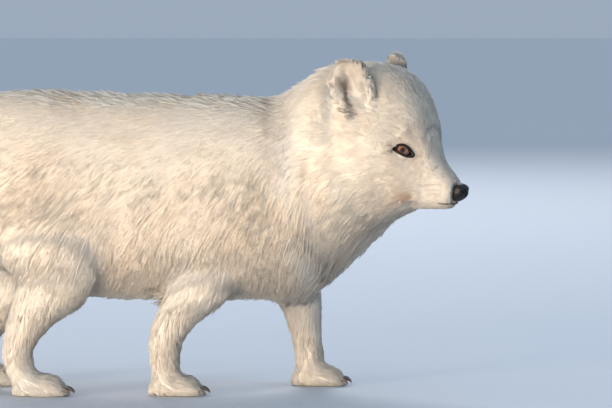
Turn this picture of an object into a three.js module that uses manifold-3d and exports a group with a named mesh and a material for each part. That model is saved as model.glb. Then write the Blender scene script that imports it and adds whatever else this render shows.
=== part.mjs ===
// An arctic fox in its winter coat, standing in mid-step with its head turned a little to its right.
// Millimetres. +X is forward, +Y is the fox's left and +Z is up; the floor is z = 0.
// The solids follow the outside of the coat. The body is drawn straight, as sections from rump to
// muzzle, and the neck is then bent sideways, which carries the head round.
import * as THREE from "three";
import { LoftGeometry } from "three/addons/geometries/LoftGeometry.js";
import { mergeVertices } from "three/addons/utils/BufferGeometryUtils.js";
import Module from "manifold-3d";

const wasm = await Module();
wasm.setup();

// ---------------------------------------------------------------- driving dimensions
const GAP = 0.3; // between neighbouring pieces
const BACK = 274; // height of the coat over the back
const BELLY = 86; // height of the coat under the belly
const RUMP = -241; // the rearmost point of the body
const EYES_AT = 207.5; // the eye line, along the straightened body
const EYES_HIGH = 222; // and its height
const NECK_BEND = { from: 78, to: 135, turn: THREE.MathUtils.degToRad(27) };
const EYE = { radius: 9.5, forward: -2.4, aside: 24.8, up: 1.5 };
const EAR = { length: 66, half: 18.5, back: 15, hollow: 7 };
const EAR_MOVED = { left: [-5, 4], right: [0, 0] }; // how far each ear is drawn [forward, up]
const TAIL_REACH = 290; // along the tail's own curve
const PAW = { length: 52, half: 19, height: 25 };
const TOE = { width: 8.8, rise: 2.4 }; // rise is how far a toe stands out in front of the gaps beside it
const STANCE = { front: 43, hind: 46 }; // how far each pair of legs stands from the middle
// Points around each ring.
const AROUND = { body: 30, limb: 14, tail: 16, paw: 14, claw: 5, eye: 12, nose: 12 };

const COAT = new THREE.MeshStandardMaterial({ color: 0xeee2d0, roughness: 0.95, metalness: 0 });
const LEATHER = new THREE.MeshStandardMaterial({ color: 0x14110f, roughness: 0.35, metalness: 0 });
const AMBER = new THREE.MeshStandardMaterial({ color: 0x8a4416, roughness: 0.05, metalness: 0 });
const HORN = new THREE.MeshStandardMaterial({ color: 0x3a332c, roughness: 0.5, metalness: 0 });

const fox = new THREE.Group();

// ---------------------------------------------------------------- solids
function solidOf(geometry) {
  const bare = new THREE.BufferGeometry();
  bare.setAttribute("position", geometry.getAttribute("position"));
  if (geometry.index) bare.setIndex(geometry.index);
  const merged = mergeVertices(bare, 1e-3);
  return new wasm.Manifold(
    new wasm.Mesh({
      numProp: 3,
      vertProperties: new Float32Array(merged.attributes.position.array),
      triVerts: new Uint32Array(merged.index.array),
    }),
  );
}

function geometryOf(solid) {
  const mesh = solid.getMesh();
  return new THREE.BufferGeometry()
    .setAttribute("position", new THREE.BufferAttribute(mesh.vertProperties, 3))
    .setIndex(new THREE.BufferAttribute(mesh.triVerts, 1));
}

function add(name, shape, material) {
  const geometry = shape.isBufferGeometry ? shape : geometryOf(shape);
  const mesh = new THREE.Mesh(geometry, material);
  mesh.name = name;
  fox.add(mesh);
}

function box(low, high) {
  const size = high.clone().sub(low);
  const middle = low.clone().add(high).multiplyScalar(0.5);
  return new THREE.BoxGeometry(size.x, size.y, size.z).translate(middle.x, middle.y, middle.z);
}

// ---------------------------------------------------------------- the neck's bend
// Carries a point of the straight body to where the bent neck puts it.
function bend(point) {
  const { from, to, turn } = NECK_BEND;
  const radius = (to - from) / turn;
  const angle = (THREE.MathUtils.clamp(point.x, from, to) - from) / radius;
  const beyond = Math.max(point.x - to, 0);
  const straight = Math.min(point.x, from);
  const x = straight + radius * Math.sin(angle) + beyond * Math.cos(angle);
  const y = -radius * (1 - Math.cos(angle)) - beyond * Math.sin(angle);
  return new THREE.Vector3(x + point.y * Math.sin(angle), y + point.y * Math.cos(angle), point.z);
}

// A place on the head, from the point between the eyes, as a point of the straight body.
function onHead(forward, up, aside = 0) {
  return new THREE.Vector3(EYES_AT + forward, aside, EYES_HIGH + up);
}

// ---------------------------------------------------------------- body sections
// Each section runs from a top point to an under point, [along, height], and is half wide at its widest
// level (-1 is the under point, 1 the top). square is 2 for an ellipse and more for fuller corners.
const section = (top, under, half, level = 0, square = 2.1) => ({ top, under, half, level, square });
const head = (top, under, half, level, square) => {
  const at = ([forward, up]) => [EYES_AT + forward, EYES_HIGH + up];
  return section(at(top), at(under), half, level, square);
};

// From rump to muzzle.
const SECTIONS = [
  section([RUMP, 222], [RUMP, 202], 14),
  section([RUMP + 9, 244], [RUMP + 9, 166], 42),
  section([RUMP + 31, BACK - 11], [RUMP + 31, 134], 56),
  section([RUMP + 61, BACK], [RUMP + 59, 112], 66),
  section([RUMP + 103, BACK + 2], [RUMP + 103, 95], 70, -0.05),
  section([RUMP + 158, BACK], [RUMP + 158, BELLY], 71, -0.1),
  section([RUMP + 213, BACK - 2], [RUMP + 213, BELLY], 74, -0.1),
  section([RUMP + 269, BACK - 3], [RUMP + 269, BELLY], 77, -0.1),
  section([66, BACK - 4], [76, BELLY + 1], 78, -0.1),
  section([92, BACK + 7], [113, 94], 80, -0.05),
  section([110, BACK + 18], [134, 116], 81),
  section([124, BACK + 26], [158, 138], 78, -0.05),
  head([-72, 79], [-29, -66], 70, -0.15),
  head([-55, 80], [-16, -59], 63, -0.25, 2.2),
  head([-36, 80], [-7, -54], 55, -0.32, 2.35),
  head([-17, 75.5], [-0.5, -52], 46, -0.26, 2.7),
  head([0, 64], [5, -51], 36, -0.2, 2.9),
  head([10, 48], [10, -51], 29.5, -0.15, 2.9),
  head([15.5, 34], [14, -51], 25, -0.15, 2.8),
  head([19.5, 17], [18, -51], 22, -0.2, 2.6),
  head([22.8, 2], [23, -51], 19.5, -0.25, 2.5),
  head([28, -8.5], [28, -51], 18, -0.25, 2.4),
  head([35.5, -17.5], [34, -50.5], 16.5, -0.15, 2.3),
  head([40.5, -23.8], [37.5, -49], 14.5, 0, 2.2),
  head([43, -28], [39.2, -46.8], 12, 0, 2.2),
];
const LAST = SECTIONS.length - 1;
// The named lengths of the body: the places along SECTIONS where each starts and ends, and its rings.
const LENGTHS = {
  hindquarters: [0, 4.6, 10],
  loins: [4.6, 6.3, 3],
  chest: [6.3, 8, 3],
  neck: [8, 12, 8],
  head: [12, 18.5, 13],
  muzzle: [18.5, LAST, 8],
};

const curve = (points, kind = "centripetal") => new THREE.CatmullRomCurve3(points, false, kind, 0.5);
const tops = curve(SECTIONS.map((s) => new THREE.Vector3(s.top[0], 0, s.top[1])));
const unders = curve(SECTIONS.map((s) => new THREE.Vector3(s.under[0], 0, s.under[1])));
const shapes = curve(SECTIONS.map((s) => new THREE.Vector3(s.half, s.level, s.square)), "catmullrom");

// Swellings and hollows of the straight body, the same on both sides.
const SWELLINGS = [
  { at: [-148, 62, 185], spread: [52, 45, 50], height: 5 }, // top of the thigh
  { at: [-92, 66, 140], spread: [22, 40, 40], height: -4 }, // flank fold
  { at: [40, 70, 165], spread: [42, 45, 60], height: 5 }, // shoulder
  { at: [74, 60, 235], spread: [14, 70, 60], height: -4 }, // where the ruff parts from the shoulder
  { at: [172, 60, 205], spread: [24, 40, 30], height: 4 }, // cheek ruff
  { at: [EYES_AT - 38, 42, EYES_HIGH + 66], spread: [17, 17, 16], height: 5 }, // before the ear's root
  { at: [EYES_AT + 6, 24, EYES_HIGH + 20], spread: [12, 12, 11], height: 3.5 }, // brow
  { at: [EYES_AT + 4, 31, EYES_HIGH - 1], spread: [15, 17, 12], height: -9.5 }, // eye hollow
  { at: [EYES_AT + 35, 16, EYES_HIGH - 37], spread: [10, 12, 8], height: 1.5 }, // whisker pad
];

function swell(point, outward) {
  let rise = 0;
  for (const { at, spread, height } of SWELLINGS) {
    const x = (point.x - at[0]) / spread[0];
    const y = (Math.abs(point.y) - at[1]) / spread[1];
    const z = (point.z - at[2]) / spread[2];
    rise += height * Math.exp(-(x * x + y * y + z * z));
  }
  return point.addScaledVector(outward, rise);
}

const power = (value, exponent) => Math.sign(value) * Math.abs(value) ** exponent;

// Points spaced evenly round a superellipse, as [across, up] from -1 to 1. The third value gives its half
// width and its heights above and below its widest level.
function evenlyRound(count, square, [wide, above, below]) {
  const FINE = 32; // tries for each point kept
  const steps = count * FINE;
  const points = [];
  let travelled = 0;
  for (let i = 0; i <= steps; i++) {
    const angle = (2 * Math.PI * i) / steps;
    const across = power(Math.cos(angle), 2 / square);
    const up = power(Math.sin(angle), 2 / square);
    const x = across * wide;
    const y = up * (up > 0 ? above : below);
    if (i) travelled += Math.hypot(x - points.at(-1).x, y - points.at(-1).y);
    points.push({ across, up, x, y, travelled });
  }
  const even = [];
  for (let k = 0, i = 0; k < count; k++) {
    while (points[i].travelled < (travelled * k) / count) i++;
    even.push([points[i].across, points[i].up]);
  }
  return even;
}

// One ring of the body at a place along SECTIONS, grown outwards by some millimetres.
function bodyRing(place, grow = 0) {
  const t = place / LAST;
  const top = tops.getPoint(t);
  const under = unders.getPoint(t);
  const { x: half, y: level, z: square } = shapes.getPoint(t);
  const up = top.clone().sub(under);
  const tall = up.length() / 2;
  up.normalize();
  const middle = top.clone().add(under).multiplyScalar(0.5).addScaledVector(up, level * tall);
  const above = tall * (1 - level);
  const below = tall * (1 + level);
  return evenlyRound(AROUND.body, square, [half, above, below]).map(([across, along]) => {
    const reach = along > 0 ? above : below;
    const outward = up.clone().multiplyScalar(along).add(new THREE.Vector3(0, across, 0)).normalize();
    const point = middle.clone().addScaledVector(up, along * reach);
    point.y += across * half;
    return bend(swell(point, outward).addScaledVector(outward, grow));
  });
}

function middleOf(ring) {
  return ring.reduce((sum, p) => sum.add(p), new THREE.Vector3()).divideScalar(ring.length);
}

// The step along SECTIONS that moves a ring by half a gap.
function halfGap(place) {
  const step = 0.01;
  const ahead = Math.min(place + step, LAST);
  const moved = middleOf(bodyRing(ahead)).distanceTo(middleOf(bodyRing(ahead - step)));
  return (step * GAP) / 2 / moved;
}

const closed = (rings) => new LoftGeometry(rings, { capStart: true, capEnd: true });

function placesOf(name) {
  const [from, to, rings] = LENGTHS[name];
  return Array.from({ length: rings + 1 }, (_, i) => from + ((to - from) * i) / rings);
}

// One named length of the body, shortened by half a gap at each end that meets another.
function bodyLength(name) {
  const places = placesOf(name);
  if (places[0] > 0) places[0] += halfGap(places[0]);
  if (places.at(-1) < LAST) places[places.length - 1] -= halfGap(places.at(-1));
  return closed(places.map((place) => bodyRing(place)));
}

// Several lengths in one, drawn through the same rings and grown outwards.
function bodyThrough(names, grow = 0) {
  const places = new Set(names.flatMap(placesOf));
  return closed([...places].map((place) => bodyRing(place, grow)));
}

// ---------------------------------------------------------------- limbs, tail and claws
// A tapering form along a path. sizes are [half fore and aft, half across] at each point of the path.
// follow is 1 where the rings stand square to the path and 0 where they lie level.
function limbRings(path, sizes, steps, around, follow = 1) {
  const line = curve(path);
  const size = curve(sizes.map(([deep, wide]) => new THREE.Vector3(deep, wide, 0)), "catmullrom");
  const rings = [];
  for (let i = 0; i <= steps; i++) {
    const t = i / steps;
    const at = line.getPoint(t);
    const tangent = line.getTangent(t).multiplyScalar(follow);
    tangent.z -= 1 - follow;
    tangent.normalize();
    const across = new THREE.Vector3(0, 1, 0).addScaledVector(tangent, -tangent.y).normalize();
    const fore = new THREE.Vector3().crossVectors(tangent, across);
    const { x: deep, y: wide } = size.getPoint(t);
    const ring = [];
    for (let j = 0; j < around; j++) {
      const angle = (2 * Math.PI * j) / around;
      ring.push(
        at
          .clone()
          .addScaledVector(across, wide * Math.cos(angle))
          .addScaledVector(fore, deep * Math.sin(angle)),
      );
    }
    rings.push(ring);
  }
  return rings;
}

// Parts a limb's rings at one of them, with a gap between the two lengths.
function partedAt(rings, index) {
  const SLANT = 1.3; // the rings slant, so that the step along the path is longer than the gap
  const cut = rings[index];
  const before = rings[index - 1];
  const share = (GAP / middleOf(cut).distanceTo(middleOf(before))) * SLANT;
  const short = cut.map((p, j) => p.clone().lerp(before[j], share));
  return [closed([...rings.slice(0, index), short]), closed(rings.slice(index))];
}

// ---------------------------------------------------------------- legs
// Paths run from inside the body to just inside the paw. Their points are [forward, aside, up], with
// aside as a share of the stance.
const LEGS = {
  front_right: {
    side: -1,
    stance: STANCE.front,
    paw: -20,
    path: [[58, 0.75, 155], [24, 0.9, 120], [-6, 1, 86], [-27, 1, 56], [-30, 1, 34], [-28, 1, 14]],
    sizes: [[34, 22], [33, 24], [25, 19], [16.5, 15], [14, 13.5], [14, 14]],
  },
  front_left: {
    side: 1,
    stance: STANCE.front,
    paw: 110,
    path: [[72, 0.75, 155], [84, 0.9, 118], [92, 1, 84], [98, 1, 54], [101, 1, 34], [103, 1, 14]],
    sizes: [[34, 22], [28, 24], [21, 19], [15.5, 15], [14, 13.5], [14, 14]],
  },
  hind_right: {
    side: -1,
    stance: STANCE.hind,
    paw: -143,
    path: [[-156, 0.7, 190], [-138, 1, 146], [-125, 1, 108], [-151, 1, 69], [-164, 1, 40], [-156, 1, 14]],
    sizes: [[38, 24], [52, 30], [41, 26], [21, 18], [14, 13.5], [14, 14]],
  },
  hind_left: {
    side: 1,
    stance: STANCE.hind,
    paw: -196,
    path: [[-170, 0.7, 190], [-158, 1, 146], [-153, 1, 108], [-187, 1, 70], [-206, 1, 40], [-202, 1, 14]],
    sizes: [[38, 24], [51, 30], [40, 26], [21, 18], [14, 13.5], [14, 14]],
  },
};
const LEG_STEPS = 10;
const LEG_PARTED = 5; // the ring where the upper leg ends
const LEG_FOLLOW = 0.35; // how far the rings turn with the leg
const TOES = [-1.5, -0.5, 0.5, 1.5]; // across the paw, in toe widths
const PAW_STEPS = 8;
const PAW_SUNK = 5; // how far the round form would reach below the floor
const PAW_TOE_HEIGHT = 0.62; // of the paw's height, at the toe tips
const PAW_HEEL_WIDTH = 0.82; // of the paw's width, at the heel
const SOFT_CORNERS = 0.85; // turns a ring's ellipse into a slightly fuller form

// How full the paw is at a share of its length: full between two round ends.
function plumpness(t) {
  const END = 0.06;
  return Math.sqrt(Math.max(1 - Math.abs(2 * t - 1) ** 3.2, END));
}

// The paw: rings from heel to toe tips, flat where they meet the floor, with the toes showing in front.
function pawRings(centre, grow = 0) {
  const { lerp, smoothstep } = THREE.MathUtils;
  const rings = [];
  for (let i = 0; i <= PAW_STEPS; i++) {
    const t = i / PAW_STEPS;
    const tall = PAW.height * lerp(1, PAW_TOE_HEIGHT, t ** 1.5) * plumpness(t) + PAW_SUNK;
    const half = PAW.half * plumpness(t) * lerp(PAW_HEEL_WIDTH, 1, Math.sin(t * Math.PI * 0.6));
    const toes = TOE.rise * smoothstep(t, 0.55, 0.95);
    const ring = [];
    for (let j = 0; j < AROUND.paw; j++) {
      const angle = (2 * Math.PI * j) / AROUND.paw;
      const y = (half + grow) * power(Math.cos(angle), SOFT_CORNERS);
      const acrossToes = ((2 * Math.PI) / TOE.width) * (y - TOE.width / 2); // a whole turn for each toe
      const lobe = toes * Math.cos(acrossToes);
      const z = tall / 2 - PAW_SUNK + (tall / 2 + grow) * power(Math.sin(angle), SOFT_CORNERS);
      const x = centre.x + PAW.length * (t - 0.5) + lobe + (t > 0.5 ? grow : -grow);
      const knuckle = z > PAW.height / 4 ? lobe / 2 : 0;
      ring.push(new THREE.Vector3(x, centre.y + y, Math.max(z + knuckle, 0)));
    }
    rings.push(ring);
  }
  return rings;
}

const CLAW = {
  path: [[-5, 7.4], [1, 6.8], [4, 4.8], [5.4, 2.4]], // [ahead of the paw's front, up]
  sizes: [[1.8, 1.3], [1.7, 1.2], [1.2, 0.9], [0.4, 0.3]],
};

// A small curved claw that leaves the toe's front and points down, short of the floor.
function clawRings(centre, toe) {
  const OUTER_BACK = 3.5; // the outer toes stand further back
  const front = centre.x + PAW.length / 2 - (Math.abs(toe) > 1 ? OUTER_BACK : 0);
  const y = centre.y + toe * TOE.width;
  const path = CLAW.path.map(([ahead, z]) => new THREE.Vector3(front + ahead, y, z));
  return limbRings(path, CLAW.sizes, CLAW.path.length - 1, AROUND.claw);
}

function addLegs(trunkGrown) {
  for (const [name, leg] of Object.entries(LEGS)) {
    const aside = leg.side * leg.stance;
    const path = leg.path.map(([x, share, z]) => new THREE.Vector3(x, aside * share, z));
    const rings = limbRings(path, leg.sizes, LEG_STEPS, AROUND.limb, LEG_FOLLOW);
    const centre = new THREE.Vector3(leg.paw, aside, 0);
    const paw = solidOf(closed(pawRings(centre)));
    const pawGrown = solidOf(closed(pawRings(centre, GAP)));
    const [upper, lower] = partedAt(rings, LEG_PARTED);
    add(`leg_${name}_upper`, solidOf(upper).subtract(trunkGrown), COAT);
    add(`leg_${name}_lower`, solidOf(lower).subtract(pawGrown), COAT);
    add(`paw_${name}`, paw, COAT);
    TOES.forEach((toe, index) => {
      add(`claw_${name}_${index + 1}`, solidOf(closed(clawRings(centre, toe))).subtract(pawGrown), HORN);
    });
  }
}

// ---------------------------------------------------------------- tail
// The tail's line is [behind the rump, aside, up], and it is scaled to the tail's reach. sizes are even
// along it, from root to tip.
const TAIL = {
  line: [[28, 0, 226], [-12, 2, 196], [-62, 8, 150], [-124, 17, 112], [-190, 24, 92], [-250, 27, 92]],
  sizes: [[24, 22], [30, 28], [37, 35], [42, 40], [43, 41], [38, 37], [28, 27], [6, 6]],
  steps: 16,
  partedAt: [5, 10], // the rings where the base and the middle end
};

function addTail(trunkGrown) {
  const drawn = curve(TAIL.line.map(([behind, aside, up]) => new THREE.Vector3(RUMP + behind, aside, up)));
  const scale = TAIL_REACH / drawn.getLength();
  const root = drawn.getPoint(0);
  const spaced = drawn.getSpacedPoints(TAIL.sizes.length - 1);
  const path = spaced.map((p) => p.sub(root).multiplyScalar(scale).add(root));
  const rings = limbRings(path, TAIL.sizes, TAIL.steps, AROUND.tail);
  const [baseEnd, middleEnd] = TAIL.partedAt;
  const [base, beyondBase] = partedAt(rings, baseEnd);
  const [beforeTip, tip] = partedAt(rings, middleEnd);
  add("tail_base", solidOf(base).subtract(trunkGrown), COAT);
  add("tail_middle", solidOf(beforeTip).intersect(solidOf(beyondBase)), COAT);
  add("tail_tip", tip, COAT);
}

// ---------------------------------------------------------------- ears
const EAR_OUTLINE = [0.38, 0.54, 0.73, 0.9, 1, 0.98, 0.86, 0.65, 0.32]; // of the half width, root to tip
const EAR_ROOT = [-25, 20, 52]; // [forward, up, aside] from between the eyes
const EAR_TIP = [-42, 83, 60];
const EAR_FACING = { forward: 0.5, aside: 0.87 };
const EAR_EDGE = 2; // how thick the ear is at its two edges
const EAR_BOW = 3; // how far the upper ear leans back from its root
const EAR_ARC = 9; // steps across the back, and again across the hollow
const EAR_TIP_BACK = 0.35; // how round the back still is at the tip
const EAR_TIP_HOLLOW = 0.1;

// A cupped ear: crescent sections from root to rounded tip, open forwards and outwards.
function earGeometry(side, [forward, up]) {
  const root = onHead(EAR_ROOT[0] + forward, EAR_ROOT[1] + up, side * EAR_ROOT[2]);
  const tip = onHead(EAR_TIP[0] + forward, EAR_TIP[1] + up, side * EAR_TIP[2]);
  const axis = tip.clone().sub(root).normalize();
  const facing = new THREE.Vector3(EAR_FACING.forward, side * EAR_FACING.aside, 0);
  facing.addScaledVector(axis, -facing.dot(axis)).normalize();
  const across = new THREE.Vector3().crossVectors(axis, facing); // so that rings turn as a loft needs
  const rings = EAR_OUTLINE.map((share, i) => {
    const t = i / (EAR_OUTLINE.length - 1);
    const centre = root.clone().addScaledVector(axis, EAR.length * (1 - (1 - t) ** 1.25));
    centre.addScaledVector(facing, -EAR_BOW * Math.sin((t * Math.PI) / 2));
    const point = (step, wide, depth) => {
      const angle = (Math.PI * step) / EAR_ARC;
      const sideways = centre.clone().addScaledVector(across, wide * Math.cos(angle));
      return bend(sideways.addScaledVector(facing, -depth * Math.sin(angle)));
    };
    const half = EAR.half * share;
    const back = EAR.back * THREE.MathUtils.lerp(1, EAR_TIP_BACK, t ** 2);
    const hollow = EAR.hollow * THREE.MathUtils.lerp(1, EAR_TIP_HOLLOW, t ** 2);
    const ring = [];
    for (let j = 0; j <= EAR_ARC; j++) ring.push(point(j, half, back));
    for (let j = EAR_ARC - 1; j > 0; j--) ring.push(point(j, half - EAR_EDGE, hollow));
    return ring;
  });
  return closed(rings);
}

// ---------------------------------------------------------------- eyes and nose
function eyeGeometry(side, grow = 0) {
  const centre = bend(onHead(EYE.forward, EYE.up, side * EYE.aside));
  const ball = new THREE.SphereGeometry(EYE.radius + grow, AROUND.eye, (AROUND.eye * 2) / 3);
  return ball.translate(centre.x, centre.y, centre.z);
}

function noseRings() {
  const BROAD_TOP = 0.12; // how much wider the nose is above its middle
  const stations = [
    head([41.5, -27.9], [38, -44.6], 8.2),
    head([46, -27.9], [41.9, -44.4], 9.2),
    head([48.8, -28.9], [45.4, -43.4], 9.2),
    head([51, -31], [48.8, -41], 7.4),
    head([52.2, -33.8], [51.4, -38], 3.6),
  ];
  return stations.map(({ top, under, half }) => {
    const high = new THREE.Vector3(top[0], 0, top[1]);
    const low = new THREE.Vector3(under[0], 0, under[1]);
    const middle = high.clone().add(low).multiplyScalar(0.5);
    const rise = high.clone().sub(low).multiplyScalar(0.5);
    const ring = [];
    for (let i = 0; i < AROUND.nose; i++) {
      const angle = (2 * Math.PI * i) / AROUND.nose;
      const point = middle.clone().addScaledVector(rise, power(Math.sin(angle), SOFT_CORNERS));
      point.y += half * power(Math.cos(angle), SOFT_CORNERS) * (1 + BROAD_TOP * Math.sin(angle));
      ring.push(bend(point));
    }
    return ring;
  });
}

// A shallow pit that opens forwards and outwards.
function nostril(side) {
  const at = bend(onHead(50.2, -35.6, side * 4.8));
  const out = side * THREE.MathUtils.degToRad(30) - NECK_BEND.turn;
  const pit = new THREE.SphereGeometry(1, 8, 6).scale(3.2, 1.7, 2.1);
  return pit.rotateZ(out).translate(at.x, at.y, at.z);
}

// ---------------------------------------------------------------- head
// The mouth's line runs from its corner to under the nose, as [forward, up] from between the eyes.
const MOUTH = { corner: [2, -43.5], lip: [44, -47] };

// The room below the mouth's line, larger than the head, grown towards the rest of the head.
function jawRoom(grow) {
  const REACH = { forward: 70, aside: 60, down: 40 };
  const { corner, lip } = MOUTH;
  const slope = Math.atan2(lip[1] - corner[1], lip[0] - corner[0]);
  const room = box(
    new THREE.Vector3(-grow, -REACH.aside, -REACH.down),
    new THREE.Vector3(REACH.forward, REACH.aside, grow),
  );
  room.rotateY(-slope).translate(EYES_AT + corner[0], 0, EYES_HIGH + corner[1]);
  const bent = room.toNonIndexed();
  const position = bent.getAttribute("position");
  for (let i = 0; i < position.count; i++) {
    const p = bend(new THREE.Vector3().fromBufferAttribute(position, i));
    position.setXYZ(i, p.x, p.y, p.z);
  }
  return solidOf(bent);
}

function addHead() {
  const sockets = solidOf(eyeGeometry(1, GAP)).add(solidOf(eyeGeometry(-1, GAP)));
  const cutAway = jawRoom(GAP / 2).add(sockets);
  const headGrown = solidOf(bodyThrough(["neck", "head", "muzzle"], GAP));
  const notNose = headGrown.add(solidOf(nostril(1))).add(solidOf(nostril(-1)));
  add("head", solidOf(bodyLength("head")).subtract(cutAway), COAT);
  add("muzzle", solidOf(bodyLength("muzzle")).subtract(cutAway), COAT);
  add("lower_jaw", solidOf(bodyThrough(["head", "muzzle"])).intersect(jawRoom(-GAP / 2)), COAT);
  add("nose", solidOf(closed(noseRings())).subtract(notNose), LEATHER);
  for (const [name, side] of Object.entries({ left: 1, right: -1 })) {
    add(`ear_${name}`, solidOf(earGeometry(side, EAR_MOVED[name])).subtract(headGrown), COAT);
    add(`eye_${name}`, eyeGeometry(side), AMBER);
  }
}

for (const name of ["hindquarters", "loins", "chest", "neck"]) add(name, bodyLength(name), COAT);
addHead();
const trunkGrown = solidOf(bodyThrough(["hindquarters", "loins", "chest", "neck"], GAP));
addLegs(trunkGrown);
addTail(trunkGrown);

// The origin is the middle of the standing fox, at floor level.
const extent = new THREE.Box3().setFromObject(fox);
const centre = extent.getCenter(new THREE.Vector3());
fox.position.set(-centre.x, -centre.y, -extent.min.z);

export default fox;
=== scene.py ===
import math

import bmesh
import bpy
import numpy as np
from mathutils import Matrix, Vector
from mathutils.bvhtree import BVHTree
from mathutils.kdtree import KDTree


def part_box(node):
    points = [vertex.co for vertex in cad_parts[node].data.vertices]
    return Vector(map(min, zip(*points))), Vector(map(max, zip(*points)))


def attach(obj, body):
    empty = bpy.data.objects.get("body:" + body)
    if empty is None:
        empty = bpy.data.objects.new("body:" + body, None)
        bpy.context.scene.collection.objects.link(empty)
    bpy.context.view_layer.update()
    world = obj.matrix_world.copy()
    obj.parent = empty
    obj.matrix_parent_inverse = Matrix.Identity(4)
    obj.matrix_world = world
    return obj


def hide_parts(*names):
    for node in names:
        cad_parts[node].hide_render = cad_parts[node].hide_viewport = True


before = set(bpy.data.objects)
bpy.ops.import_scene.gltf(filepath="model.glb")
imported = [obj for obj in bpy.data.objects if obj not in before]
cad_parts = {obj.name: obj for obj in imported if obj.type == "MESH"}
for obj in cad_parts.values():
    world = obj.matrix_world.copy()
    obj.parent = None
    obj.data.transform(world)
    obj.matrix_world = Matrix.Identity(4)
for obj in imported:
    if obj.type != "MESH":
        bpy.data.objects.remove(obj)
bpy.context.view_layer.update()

MM = 0.001
rng = np.random.default_rng(7)

# ---- the straightened body
# The tables place things on the body as it is before its neck bends: along it from under the elbows, out
# to either side, and up from the floor. Head places count from the point between the eyes.
BEND_FROM, BEND_TO, BEND_TURN = 78.0, 135.0, math.radians(27)
BEND_RADIUS = (BEND_TO - BEND_FROM) / BEND_TURN
EYES_AT, EYES_HIGH = 207.5, 222.0
EYE_CENTRE = np.array([-2.4, 24.8, 1.5])  # forward, aside and up from between the eyes
EYE_RADIUS = 9.5


def bend_angle(along):
    """How far the neck has turned at these places along the body."""
    return (np.clip(along, BEND_FROM, BEND_TO) - BEND_FROM) / BEND_RADIUS


def bend(points):
    """Carries places on the straight body to the bent one."""
    x, y, z = np.asarray(points, float).T
    angle = bend_angle(x)
    beyond = np.maximum(x - BEND_TO, 0)
    ahead = np.minimum(x, BEND_FROM) + BEND_RADIUS * np.sin(angle) + beyond * np.cos(angle)
    aside = -BEND_RADIUS * (1 - np.cos(angle)) - beyond * np.sin(angle)
    return np.column_stack([ahead + y * np.sin(angle), aside + y * np.cos(angle), z])


def unbend(points):
    """Carries places on the bent body back to the straight one."""
    x, y, z = np.asarray(points, float).T
    ahead = x - BEND_FROM
    aside = y + BEND_RADIUS
    angle = np.clip(np.arctan2(ahead, aside), 0, BEND_TURN)
    beyond = ahead * np.cos(angle) - aside * np.sin(angle)
    along = BEND_FROM + BEND_RADIUS * angle + beyond
    out = ahead * np.sin(angle) + aside * np.cos(angle) - BEND_RADIUS
    return np.column_stack([along, out, z])


def turn_with_neck(places, directions, way=1):
    """Turns directions as the bend turns them at those places, or back again where way is -1."""
    angle = way * bend_angle(places[:, 0])
    x, y, z = directions.T
    return np.column_stack([x * np.cos(angle) + y * np.sin(angle), y * np.cos(angle) - x * np.sin(angle), z])


def box_middle(node):
    low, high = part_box(node)
    return np.array((low + high) / 2)


def from_eyes(forward, aside, up):
    return np.array([EYES_AT + forward, aside, EYES_HIGH + up])


def from_head(rows):
    """Rows that start with a place from between the eyes, with that place on the straight body."""
    return tuple((*from_eyes(*row[:3]), *row[3:]) for row in rows)


# Where the straight body's zero lies in the scene, from the right eye's place in both.
RIGHT_EYE = from_eyes(EYE_CENTRE[0], -EYE_CENTRE[1], EYE_CENTRE[2])
SHIFT = box_middle("eye_right") / MM - bend(RIGHT_EYE[None])[0]


def to_scene(points):
    """Straight body places, in millimetres, as scene places in metres."""
    return (bend(points) + SHIFT) * MM


def to_straight(points):
    return unbend(np.asarray(points) / MM - SHIFT)


def head_place(forward, aside, up, side=1):
    """A place from between the eyes, on the head's left (1) or right (-1) side, in the scene."""
    return to_scene(from_eyes(forward, aside * side, up)[None])[0]


def unit(vectors):
    return vectors / np.maximum(np.linalg.norm(vectors, axis=-1, keepdims=True), 1e-9)


# ---- the coat's lie
# Rows: place (along, aside, up), lie (along, outwards, up), hair length, coat depth.
BODY_COAT = (
    (-240, 0, 215, -0.6, 0.0, -0.8, 26, 8.5),
    (-232, 25, 236, -0.8, 0.2, -0.5, 26, 8.5),
    (-190, 0, 272, -1.0, 0.0, -0.1, 26, 9.1),
    (-190, 60, 215, -0.75, 0.0, -0.65, 26, 10),
    (-205, 50, 150, -0.45, 0.0, -0.9, 27, 10),
    (-215, 0, 150, -0.3, 0.0, -0.95, 26, 9.1),
    (-100, 0, 276, -1.0, 0.0, 0.0, 26, 9.1),
    (-100, 55, 250, -0.85, 0.0, -0.5, 26, 10),
    (-100, 70, 200, -0.65, 0.0, -0.75, 27, 10),
    (-100, 55, 120, -0.3, 0.0, -0.95, 29, 10),
    (-90, 0, 95, -0.8, 0.0, -0.4, 28, 9.1),
    (-10, 0, 273, -1.0, 0.0, 0.0, 26, 9.1),
    (-10, 55, 250, -0.85, 0.0, -0.5, 26, 10),
    (-10, 72, 200, -0.6, 0.0, -0.8, 27, 10),
    (-10, 60, 120, -0.25, 0.0, -0.97, 30, 10),
    (0, 0, 88, -0.8, 0.0, -0.4, 30, 10),
    (55, 0, 271, -1.0, 0.0, 0.0, 26, 9.1),
    (55, 55, 250, -0.75, 0.0, -0.65, 27, 10),
    (60, 76, 200, -0.35, 0.0, -0.93, 29, 10),
    (70, 62, 120, -0.1, 0.0, -1.0, 32, 11),
    (80, 0, 88, -0.6, 0.0, -0.6, 32, 10),
    (92, 0, 282, -0.95, 0.0, -0.3, 28, 10),
    (115, 30, 293, -0.9, 0.2, -0.4, 28, 10),
    (105, 78, 225, -0.6, 0.0, -0.8, 31, 11),
    (120, 70, 165, -0.2, 0.0, -1.0, 35, 12),
    (120, 0, 102, -0.15, 0.0, -1.0, 36, 12),
    (150, 0, 130, -0.1, 0.0, -1.0, 35, 12),
    (150, 62, 190, -0.5, 0.1, -0.85, 31, 11),
)
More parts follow.
